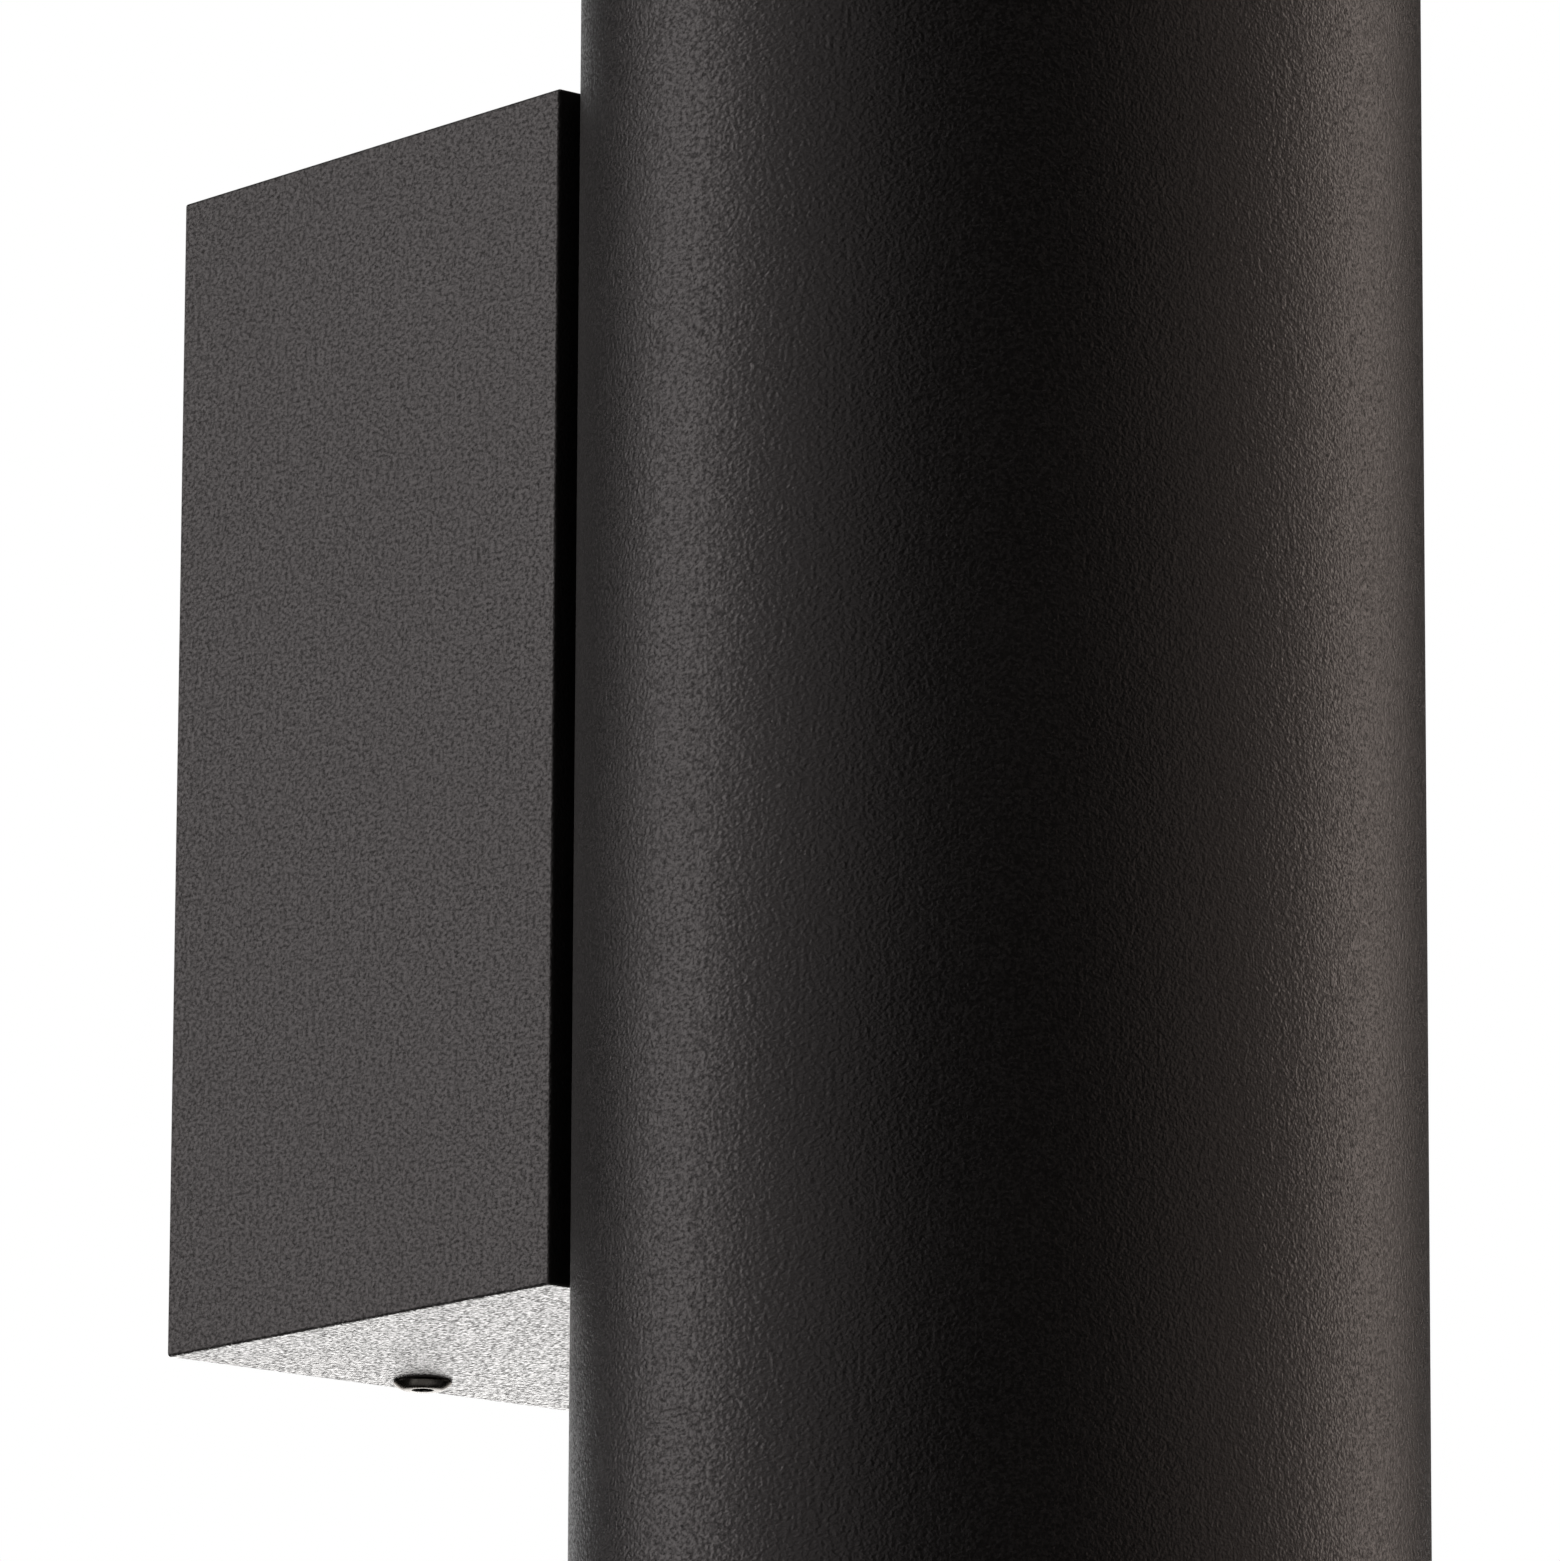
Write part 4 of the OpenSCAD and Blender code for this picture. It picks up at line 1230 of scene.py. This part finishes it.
@dataclass
class LampCarrier(Assembly):
    """The black sheet carrier in the tube, its spacer and what clamps it."""

    edge: float = 0.2 * MM
    spacer_edge: float = 0.25 * MM
    washer_edge: float = 0.06 * MM
    washer_h: float = 0.6 * MM
    thread: float = 4.0 * MM
    head_h: float = 2.4 * MM
    bore: float = 4.5 * MM
    neck: float = 5.4 * MM
    lip_h: float = 1.6 * MM
    lip_round: float = 0.6 * MM

    def bushing(self) -> Thing:
        """Makes the rubber bushing that the leads pass through.

        Returns:
            The bushing.
        """
        low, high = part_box("wire_bushing")
        bore, neck, lip, r = self.bore, self.neck, (high.x - low.x) / 2, self.lip_round
        front, top = low.y, high.y
        seat = top - self.lip_h
        outline = (
            [(bore, front + 0.3 * MM), (bore + 0.3 * MM, front), (neck - 0.5 * MM, front)]
            + [(neck, front + 1.2 * MM), (neck, seat), (lip - 0.2 * MM, seat), (lip, seat + 0.2 * MM)]
            + arc(lip - r, top - r, r, 0, 90, 5) + arc(bore + r, top - r, r, 90, 180, 5)
        )
        return place(lathe("lead_bushing", outline, 96, ring=True), spin(-90, "X"))

    def build(self) -> None:
        """Builds and dresses the carrier and its fixings."""
        self.show_eased("folded_carrier", "lamp_carrier", self.edge, Slot.BLACK_SHEET)
        self.show_eased("extruded_spacer", "saddle_spacer", self.spacer_edge, Slot.SPACER_ALUMINIUM)
        self.show(self.bushing(), Slot.BLACK_RUBBER, "wire_bushing")
        self.show_eased("pressed_nuts", "clinch_nuts", self.edge, Slot.ZINC_STEEL)
        self.show_eased("toothed_washers", "lock_washers", self.washer_edge, Slot.ZINC_STEEL, 2)
        low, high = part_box("tube_screws")
        washers_low, washers_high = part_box("lock_washers")
        head_d = high.x - low.x
        screws = []
        for side, seat in ((1, washers_high.y), (-1, washers_low.y + self.washer_h)):
            screw = Screw(Drive.CROSS_PAN, self.thread, seat - low.y, head_d, self.head_h).build()
            screws.append(place(screw, shift(0.0, seat, side * (high.z - head_d / 2)), spin(-90, "X")))
        self.show(gather("tube_screw_pair", screws), Slot.ZINC_STEEL, "tube_screws")


@dataclass
class LampHolder(Assembly):
    """A ceramic twist-lock holder with its contacts."""

    end: End
    edge: float = 0.35 * MM
    spring_edge: float = 0.06 * MM

    def build(self) -> None:
        """Builds and dresses the holder."""
        end = self.end.value
        self.show_eased(f"ceramic_holder_{end}", f"holder_{end}", self.edge, Slot.HOLDER_CERAMIC)
        self.show_eased(f"bowed_contacts_{end}", f"contact_springs_{end}", self.spring_edge, Slot.BRASS, 2)


def at_end(end: End) -> Matrix:
    """Gives the move from a holder's own frame, face at z = 0, to its place.

    Args:
        end: The end of the tube.

    Returns:
        The move.
    """
    low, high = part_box("tube")
    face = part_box("holder_upper")[1].z
    place_up = shift(0.0, (low.y + high.y) / 2, 0.0)
    return place_up @ (spin(180, "X") if end is End.LOWER else Matrix()) @ shift(0.0, 0.0, face)


@dataclass
class HolderScrews(Assembly):
    """The screws and nuts that hold both holders on the carrier."""

    seat: float = -12.0 * MM
    length: float = 10.9 * MM
    thread: float = 3.0 * MM
    head_d: float = 5.6 * MM
    head_h: float = 2.0 * MM
    ear_y: float = 17.0 * MM
    nut_edge: float = 0.2 * MM

    def build(self) -> None:
        """Builds and dresses screws and nuts."""
        screw = Screw(Drive.CROSS_PAN, self.thread, self.length, self.head_d, self.head_h)
        screws = [place(screw.build(), at_end(end), shift(0.0, side * self.ear_y, self.seat))
                  for end in End for side in (-1, 1)]
        self.show(gather("holder_screw_set", screws), Slot.ZINC_STEEL, "holder_screws")
        self.show_eased("holder_nut_set", "holder_nuts", self.nut_edge, Slot.ZINC_STEEL)


@dataclass
class ReflectorLamp(Assembly):
    """A reflector lamp: neck, finned shell, lens over its diodes, and two pins."""

    end: End
    gap: float = 0.3 * MM
    neck_r: float = 10.0 * MM
    neck_h: float = 14.0 * MM
    neck_edge: float = 0.6 * MM
    groove: float = 0.25 * MM
    radius: float = 25.0 * MM
    height: float = 50.0 * MM
    rim_h: float = 9.0 * MM
    rim_w: float = 2.2 * MM
    foot_r: float = 11.6 * MM
    edge: float = 0.8 * MM
    fins: int = 18
    fin_w: float = 1.2 * MM
    fin_floor: float = 22.8 * MM
    recess: float = 8.0 * MM
    lens_sink: float = 3.0 * MM
    lens_dome: float = 1.2 * MM
    lenslet: float = 3.2 * MM
    lenslet_h: float = 0.35 * MM
    board_h: float = 1.2 * MM
    diode_w: float = 3.0 * MM
    diode_h: float = 0.8 * MM
    diode_edge: float = 0.25 * MM
    pin_head_r: float = 2.5 * MM
    pin_stem_r: float = 1.6 * MM
    pin_head_top: float = -3.7 * MM

    @property
    def body(self) -> Body:
        """The body that the lamp rides on."""
        return Body.LAMP_UPPER if self.end is End.UPPER else Body.LAMP_LOWER

    @property
    def top(self) -> float:
        """Height of the lamp's face over the holder's."""
        return self.gap + self.height

    def neck(self) -> Thing:
        """Makes the moulded neck.

        Returns:
            The neck.
        """
        r, z, h = self.neck_r, self.gap, self.neck_h
        e, sunk = self.neck_edge, r - self.groove
        outline = (
            [(0.0, z)] + arc(r - e, z + e, e, -90, 0, 5) + [(r, z + 4 * MM), (sunk, z + 4.3 * MM)]
            + [(sunk, z + 4.9 * MM), (r, z + 5.2 * MM)]
            + arc(r + MM, z + h - 3 * MM, MM, 180, 120, 4)
            + arc(r + 0.6 * MM, z + h - 1.6 * MM, 0.4 * MM, -60, 0, 3) + [(r + MM, z + h), (0.0, z + h)]
        )
        return lathe(f"lamp_neck_{self.end.value}", outline, 96)

    def shell(self) -> Thing:
        """Makes the bowl with cooling slots round its rim.

        Returns:
            The shell.
        """
        r, z0, z1 = self.radius, self.gap + self.neck_h, self.top
        e, inner = self.edge, r - self.rim_w
        waist = r - e
        bowl_z, rim_z = z0 + 3 * MM, z1 - self.rim_h

        def bowl(t: float) -> tuple[float, float]:
            """Gives a point of the bowl's profile at an angle from 0 to 90."""
            s, c = math.sin(math.radians(t)), math.cos(math.radians(t))
            return self.foot_r + (waist - self.foot_r) * s, rim_z + (bowl_z - rim_z) * c

        outline = (
            [(0.0, z0)] + arc(self.foot_r - e, z0 + e, e, -90, 0, 4) + [bowl(t) for t in range(0, 91, 2)]
            + arc(waist, rim_z + MM + e, e, -90, 0, 3)
            + arc(r - e, z1 - e, e, 0, 90, 5) + arc(inner + 0.3 * MM, z1 - 0.3 * MM, 0.3 * MM, 90, 180, 3)
            + [(inner, z1 - self.recess), (0.0, z1 - self.recess)]
        )
        low, high = bowl_z + 2 * MM, rim_z - MM
        step = 2 * math.pi / self.fins

        def slotted(reach: float, z: float, angle: float) -> float:
            """Sinks the radius inside a slot, with soft walls.

            Args:
                reach: Radius of the bowl.
                z: Height.
                angle: Angle in radians.

            Returns:
                The radius there.
            """
            if reach <= self.fin_floor or not low < z < high:
                return reach
            off = abs((angle + step / 2) % step - step / 2) * reach
            wall = min(max((off - self.fin_w / 2) / (0.25 * MM) + 0.5, 0.0), 1.0)
            foot = min(max((high - z) / (0.5 * MM), 0.0), 1.0)
            wall = 1.0 - (1.0 - wall * wall * (3 - 2 * wall)) * foot
            return self.fin_floor + (reach - self.fin_floor) * wall

        return lathe(f"lamp_bowl_{self.end.value}", outline, self.fins * 30, radius=slotted)

    def lens(self) -> Thing:
        """Makes the lens plate, with rows of small lenses on its face.

        Returns:
            The lens plate.
        """
        r = self.radius - self.rim_w - 0.15 * MM
        base = self.top - self.lens_sink
        big = (r * r + self.lens_dome ** 2) / (2 * self.lens_dome)
        pitch = self.lenslet

        def face(x: float, y: float) -> float:
            """Gives the height of the face, with the small lenses in a hexagonal grid.

            Args:
                x: Distance to the right of the middle.
                y: Distance behind the middle.

            Returns:
                The height.
            """
            row = pitch * math.sqrt(0.75)
            best = pitch
            for j in (math.floor(y / row), math.floor(y / row) + 1):
                shifted = x - (pitch / 2 if j % 2 else 0.0)
                best = min(best, math.hypot(shifted - pitch * round(shifted / pitch), y - j * row))
            dome = math.sqrt(big * big - x * x - y * y) - big
            return self.top + dome - self.lenslet_h * min(best / (pitch * 0.56), 1.0) ** 2

        steps, rings = 180, 56
        bm = bmesh.new()
        turns = round_steps(steps)
        rows = [[bm.verts.new((0.0, 0.0, base))] * steps]
        rows.append([bm.verts.new((r * math.cos(a), r * math.sin(a), base)) for a in turns])
        for k in range(rings, 0, -1):
            reach = (r - 0.1 * MM) * k / rings
            spots = [(reach * math.cos(a), reach * math.sin(a)) for a in turns]
            rows.append([bm.verts.new((x, y, face(x, y))) for x, y in spots])
        rows.append([bm.verts.new((0.0, 0.0, face(0.0, 0.0)))] * steps)
        skin(bm, rows)
        return mesh_object(f"lens_plate_{self.end.value}", bm)

    def diodes(self) -> tuple[Thing, Thing]:
        """Makes the round board and the diodes on it.

        Returns:
            The board and the diodes.
        """
        base = self.top - self.recess
        under, over = base + 0.05 * MM, base + self.board_h
        r = self.radius - self.rim_w - 0.4 * MM
        board = lathe("board", [(0.0, under), (r, under), (r, over), (0.0, over)], 96)
        w, e = self.diode_w / 2, self.diode_edge
        square = [
            (w - e, -w), (w, -w + e), (w, w - e), (w - e, w),
            (-w + e, w), (-w, w - e), (-w, -w + e), (-w + e, -w)]
        chips = []
        for ring, count in ((0.0, 1), (8.0 * MM, 6), (15.5 * MM, 12)):
            for i in range(count):
                chip = prism("chip", lambda d: [(x * (1 - d / w), y * (1 - d / w)) for x, y in square],
                             over, over + self.diode_h, 0.15 * MM, 2)
                chips.append(place(chip, spin(360 * i / count), shift(ring, 0.0, 0.0)))
        board.name = f"diode_board_{self.end.value}"
        return board, gather(f"diodes_{self.end.value}", chips)

    def pins(self) -> Thing:
        """Makes the two headed pins.

        Returns:
            The pins, as one object.
        """
        low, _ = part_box("lamp_pins_upper")
        bottom = low.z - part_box("holder_upper")[1].z
        head_r, stem_r, head_top = self.pin_head_r, self.pin_stem_r, self.pin_head_top
        e, c, root = 0.5 * MM, 0.2 * MM, self.gap + 3 * MM
        outline = (
            [(0.0, bottom)] + arc(head_r - e, bottom + e, e, -90, 0, 5)
            + arc(head_r - c, head_top - c, c, 0, 90, 3) + arc(stem_r + c, head_top + c, c, 270, 180, 3)
            + [(stem_r, root), (0.0, root)]
        )
        pins = [place(lathe("pin", outline, 48), shift(side * PIN_X, 0.0, 0.0)) for side in (-1, 1)]
        return gather(f"headed_pins_{self.end.value}", pins)

    def build(self) -> None:
        """Builds and dresses the lamp."""
        end = self.end.value
        board, chips = self.diodes()
        things = (
            (self.neck(), Slot.LAMP_WHITE, f"lamp_base_{end}"),
            (self.shell(), Slot.LAMP_WHITE, f"lamp_shell_{end}"),
            (self.lens(), Slot.LAMP_LENS, f"lamp_lens_{end}"),
            (board, Slot.LAMP_WHITE),
            (chips, Slot.LAMP_WHITE),
            (self.pins(), Slot.NICKEL, f"lamp_pins_{end}"),
        )
        for thing, slot, *nodes in things:
            flatten(place(thing, at_end(self.end)))
            self.show(thing, slot, *nodes, material=self.paints.phosphor if thing is chips else None)


@dataclass
class TerminalBlock(Assembly):
    """The three-pole terminal block with its clamps and screws."""

    edge: float = 0.15 * MM
    clamp_edge: float = 0.1 * MM
    screw_z: float = 4.0 * MM
    head_h: float = 1.8 * MM
    thread: float = 3.0 * MM
    fix_thread: float = 2.5 * MM

    def screws(self, name: str, node: str, drive: Drive, thread: float, poles: list[float],
               sides: list[int]) -> None:
        """Builds and dresses one kind of the block's screws.

        Args:
            name: Name of the new object.
            node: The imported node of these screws.
            drive: Kind of head.
            thread: Diameter of the thread.
            poles: Places along the block, in pitches from its middle.
            sides: Rows of screws: -1 below, 0 at the middle, 1 above.
        """
        low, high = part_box(node)
        head_d = high.x - low.x - (poles[-1] - poles[0]) * POLE_PITCH
        screw = Screw(drive, thread, high.y - low.y - self.head_h, head_d, self.head_h)
        screws = []
        for pole in poles:
            for side in sides:
                z = (low.z + high.z) / 2 + side * self.screw_z
                turn = 30 * (pole + side) if drive is Drive.SLOT_CHEESE else 0
                spot = shift(pole * POLE_PITCH, low.y + self.head_h, z)
                screws.append(place(screw.build(), spot, spin(90, "X"), spin(turn)))
        self.show(gather(name, screws), Slot.ZINC_STEEL, node)

    def build(self) -> None:
        """Builds and dresses the block."""
        self.show_eased("moulded_block", "terminal_body", self.edge, Slot.TERMINAL_PLASTIC)
        self.show_eased("brass_clamps", "terminal_clamps", self.clamp_edge, Slot.BRASS)
        self.screws("clamp_screw_set", "terminal_screws", Drive.SLOT_CHEESE, self.thread,
                    [-1, 0, 1], [-1, 1])
        self.screws("block_fixing_screws", "terminal_fixing_screws", Drive.CROSS_PAN, self.fix_thread,
                    [-0.5, 0.5], [0])


@dataclass
class Wiring(Assembly):
    """The inner leads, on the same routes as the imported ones."""

    lead_d: float = 2.0 * MM
    tube_y: float = -90.0 * MM
    clamp_y: float = -9.4 * MM
    boss_y: float = -46.3 * MM
    web_front: float = 30.458 * MM
    term_top: float = 19.0 * MM
    shelf_z: float = 69.7 * MM
    contact_z: float = 78.7 * MM
    earth_x: float = 18.3 * MM
    earth_z: float = 24.4 * MM
    barrel_r: float = 1.8 * MM
    barrel_x: float = 5.5 * MM
    barrel_l: float = 5.0 * MM
    steps: int = 8

    @property
    def twin(self) -> float:
        """Distance of two leads that lie side by side from the line between them."""
        return self.lead_d / 2 + 0.15 * MM

    def half_loop(self, a: Vector, b: Vector, rise: float) -> list[Vector]:
        """Lists points of a half loop that leaves a upwards and comes down on b.

        Args:
            a: Start.
            b: End.
            rise: Height of the loop.

        Returns:
            The points.
        """
        turns = [math.radians(t) for t in range(0, 181, 30)]
        return [
            a.lerp(b, (1 - math.cos(t)) / 2) + Vector((0.0, 0.0, rise * math.sin(t))) for t in turns]

    def holder_route(self, end: int, side: int) -> list[Vector]:
        """Lists the route from a holder's contact to the terminal block.

        Args:
            end: 1 for the upper holder, -1 for the lower.
            side: -1 for live, 1 for neutral.

        Returns:
            The route's points.
        """
        lane = self.lead_d / 2 + 0.7 * MM
        bend_y = self.tube_y + self.web_front - 8 * MM
        outer = end > 0
        x = side * (POLE_PITCH + (self.twin if outer else -self.twin))
        y = self.clamp_y + (self.boss_y - self.clamp_y) * 0.78 + (0.0 if outer else 2 * self.lead_d)
        z, x0, term = end * lane, side * PIN_X, self.term_top
        blend_y = 0.75 if outer else 0.7
        points = [
            (x0, self.tube_y, end * self.contact_z), (x0, self.tube_y, end * (self.shelf_z - 4 * MM)),
            (x0 * 0.9, self.tube_y + 3 * MM, end * (self.shelf_z - 18 * MM)),
            (x0 * 0.6, self.tube_y + (bend_y - self.tube_y) * 0.72, end * 24 * MM),
            (side * lane, bend_y, z + end * 2.4 * MM), (side * lane, bend_y + 7 * MM, z),
            (side * lane, bend_y + (self.boss_y - bend_y) * 0.7, z),
            (side * lane, self.boss_y + 2.5 * MM, z),
            ((side * lane + x) / 2, self.boss_y + (y - self.boss_y) * blend_y, z + (term - z) * 0.3),
        ]
        over = self.half_loop(Vector((x, y, term)), Vector((x, self.clamp_y, term + 3 * MM)), 11 * MM)
        ends = [Vector((x, self.clamp_y, term - 4 * MM))]
        return curve_through([Vector(p) for p in points] + over + ends, self.steps)

    def earth_route(self, tag: int) -> list[Vector]:
        """Lists the route from the middle pole to a ring tag.

        Args:
            tag: 0 for the tag on the bracket, 1 for the one on the tube screw.

        Returns:
            The route's points.
        """
        x = -self.twin if tag else self.twin
        if tag:
            tip = Vector((0.0, self.boss_y + self.barrel_r, SCREW_Z))
        else:
            tip = Vector((self.earth_x, -SHEET - self.barrel_r, self.earth_z))
        start = Vector((x, self.clamp_y, self.term_top + 3 * MM))
        end = tip + Vector((0.0, 0.0, self.barrel_x + self.barrel_l + MM))
        loop = self.half_loop(start, end, (4 if tag else 7) * MM)
        into = [tip + Vector((0.0, 0.0, self.barrel_x + MM))]
        return curve_through([Vector((x, self.clamp_y, self.term_top - 4 * MM))] + loop + into, self.steps)

    def build(self) -> None:
        """Builds and dresses all leads."""
        live, neutral = ([self.holder_route(end, side) for end in (-1, 1)] for side in (-1, 1))
        earth = [self.earth_route(tag) for tag in (0, 1)]
        sets = (
            ("brown_lead_pair", live, Slot.BROWN_SLEEVE, "live_leads"),
            ("blue_lead_pair", neutral, Slot.BLUE_SLEEVE, "neutral_leads"),
            ("earth_lead_pair", earth, Slot.GREEN_SLEEVE, "earth_leads"),
        )
        for name, routes, slot, node in sets:
            self.show(gather(name, [sweep("lead", route, self.lead_d / 2) for route in routes]), slot, node)


# Studio


@dataclass
class Studio:
    """Plain studio: camera, soft lights, pale floor and a white surround."""

    lens: float = 263.36
    sensor: float = 36.0
    clip_end: float = 50.0
    pitch: float = 11.984
    turn: float = 40.813
    roll: float = 0.276
    distance: float = 1141.9 * MM
    shift_x: float = 38.16 * MM
    shift_y: float = 3.27 * MM
    lit_y: float = -60.0 * MM
    floor_z: float = -3.0
    floor_r: float = 9.0
    floor_cells: int = 24
    pale: float = 0.88
    dim: float = 0.02
    white_left: float = 12.0
    white_from: float = 0.9
    white_to: float = 0.985
    warm: Colour = (1.0, 0.975, 0.97)
    amber: Colour = (1.0, 0.88, 0.8)
    cream: Colour = (1.0, 0.985, 0.965)

    def ahead(self, pitch: float, left: float = 0.0) -> Vector:
        """Gives the direction away from the camera at a pitch and a turn to the left in degrees."""
        a, e = math.radians(self.turn - left), math.radians(pitch)
        return Vector((math.sin(a) * math.cos(e), math.cos(a) * math.cos(e), math.sin(e)))

    def camera(self) -> None:
        """Sets the camera as the photograph's stood."""
        ahead = self.ahead(self.pitch)
        roll = math.radians(self.roll)
        right = ahead.cross(Vector((0.0, 0.0, 1.0))).normalized()
        up = right.cross(ahead)
        right, up = (
            right * math.cos(roll) + up * math.sin(roll),
            up * math.cos(roll) - right * math.sin(roll),
        )
        spot = right * self.shift_x + up * self.shift_y - ahead * self.distance
        data = bpy.data.cameras.new("camera")
        data.lens, data.sensor_width, data.clip_end = self.lens, self.sensor, self.clip_end
        camera = bpy.data.objects.new("camera", data)
        turned = Matrix((right, up, -ahead)).transposed().to_4x4()
        camera.matrix_world = Matrix.Translation(spot) @ turned
        bpy.context.scene.collection.objects.link(camera)
        bpy.context.scene.camera = camera

    def softbox(self, name: str, azimuth: float, elevation: float, distance: float,
                size: tuple[float, float], level: float, colour: Colour) -> None:
        """Adds a rectangular soft light that faces the lamp.

        Args:
            name: Name of the light.
            azimuth: Direction from the lamp, in degrees round from the camera's side, left positive.
            elevation: Height above the horizon in degrees.
            distance: Distance from the lamp in metres.
            size: Width and height in metres.
            level: Brightness of its face, where 1 is white.
            colour: Tint of the light.
        """
        data = bpy.data.lights.new(name, "AREA")
        data.shape = "RECTANGLE"
        data.size, data.size_y = size
        data.energy = level * math.pi * size[0] * size[1]
        data.color = colour
        light = bpy.data.objects.new(name, data)
        a = math.radians(self.turn + azimuth)
        e = math.radians(elevation)
        out = Vector((-math.sin(a) * math.cos(e), -math.cos(a) * math.cos(e), math.sin(e)))
        middle = Vector((0.0, self.lit_y, 0.0))
        light.matrix_world = Matrix.Translation(middle + out * distance) @ aim(out)
        light.visible_camera = False
        bpy.context.scene.collection.objects.link(light)

    def lights(self) -> None:
        """Adds the soft lights."""
        for row in (
            ("left_softbox", 95.0, 8.0, 1.6, (0.8, 2.2), 2.45, self.warm),
            ("left_fill", 53.0, 8.0, 1.7, (1.2, 2.2), 0.45, self.warm),
            ("right_softbox", -111.0, 8.0, 1.6, (0.75, 2.2), 2.65, self.amber),
            ("right_fill", -61.0, 8.0, 1.7, (1.2, 2.2), 0.5, self.amber),
            ("low_softbox", 180.0, -13.0, 1.6, (1.8, 0.62), 4.6, self.cream),
            ("top_softbox", 0.0, 88.0, 1.8, (1.6, 1.6), 1.2, self.cream),
            ("floor_softbox", 0.0, -88.0, 1.8, (1.6, 1.6), 1.0, self.cream),
        ):
            self.softbox(*row)

    def floor(self) -> None:
        """Lays the pale floor."""
        bm = bmesh.new()
        cells = self.floor_cells
        bmesh.ops.create_grid(bm, x_segments=cells, y_segments=cells, size=self.floor_r)
        floor = place(mesh_object("pale_floor", bm), shift(0.0, 0.0, self.floor_z))
        paint = Coat(
            "pale_floor_paint", (0.8, 0.8, 0.8), (0.76, 0.76, 0.76), 0.7, 400.0, 0.05 * MM).material()
        net = Graph(paint)
        shader = net.nodes["Principled BSDF"]
        net.feed(shader.inputs["Emission Color"], (self.pale, self.pale, self.pale))
        seen = net.add("ShaderNodeLightPath").outputs["Is Camera Ray"]
        net.feed(shader.inputs["Emission Strength"], seen)
        floor.data.materials.append(paint)

    def surround(self) -> None:
        """Makes the world white where it is seen or mirrored behind the lamp, and dim elsewhere."""
        world = bpy.data.worlds.new("surround")
        bpy.context.scene.world = world
        net = Graph(world)
        path = net.add("ShaderNodeLightPath")
        facing = net.add("ShaderNodeVectorMath", operation="DOT_PRODUCT")
        net.feed(facing.inputs[0], net.add("ShaderNodeTexCoord").outputs["Generated"])
        net.feed(facing.inputs[1], self.ahead(0.0, self.white_left))
        behind = net.spread(
            facing.outputs["Value"], self.dim, 1.0, self.white_from, self.white_to, "SMOOTHSTEP")
        mirror = net.add("ShaderNodeMath", operation="MAXIMUM")
        net.feed(mirror.inputs[0], path.outputs["Is Glossy Ray"])
        net.feed(mirror.inputs[1], path.outputs["Is Transmission Ray"])
        dim = net.spread(mirror.outputs[0], self.dim, behind, 0.0, 1.0)
        seen = net.spread(path.outputs["Is Camera Ray"], dim, 1.0, 0.0, 1.0)
        net.feed(net.nodes["Background"].inputs["Strength"], seen)
        net.feed(net.nodes["Background"].inputs["Color"], (1.0, 1.0, 1.0))

    def build(self) -> None:
        """Builds the whole studio."""
        bpy.context.scene.view_settings.view_transform = "Standard"
        self.camera()
        self.lights()
        self.floor()
        self.surround()


def main() -> None:
    """Builds the lamp's sub-assemblies in order."""
    logging.basicConfig(level=logging.INFO, format="%(name)s: %(message)s")
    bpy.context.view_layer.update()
    paints = Paints()
    Studio().build()
    parts = [RoundTube(paints), WallBox(paints), WallBracket(paints), LampCarrier(paints)]
    for end in End:
        parts += [LampHolder(paints, end), ReflectorLamp(paints, end)]
    parts += [HolderScrews(paints), TerminalBlock(paints), Wiring(paints)]
    for part in parts:
        part.build()


if __name__ == "__main__":
    main()
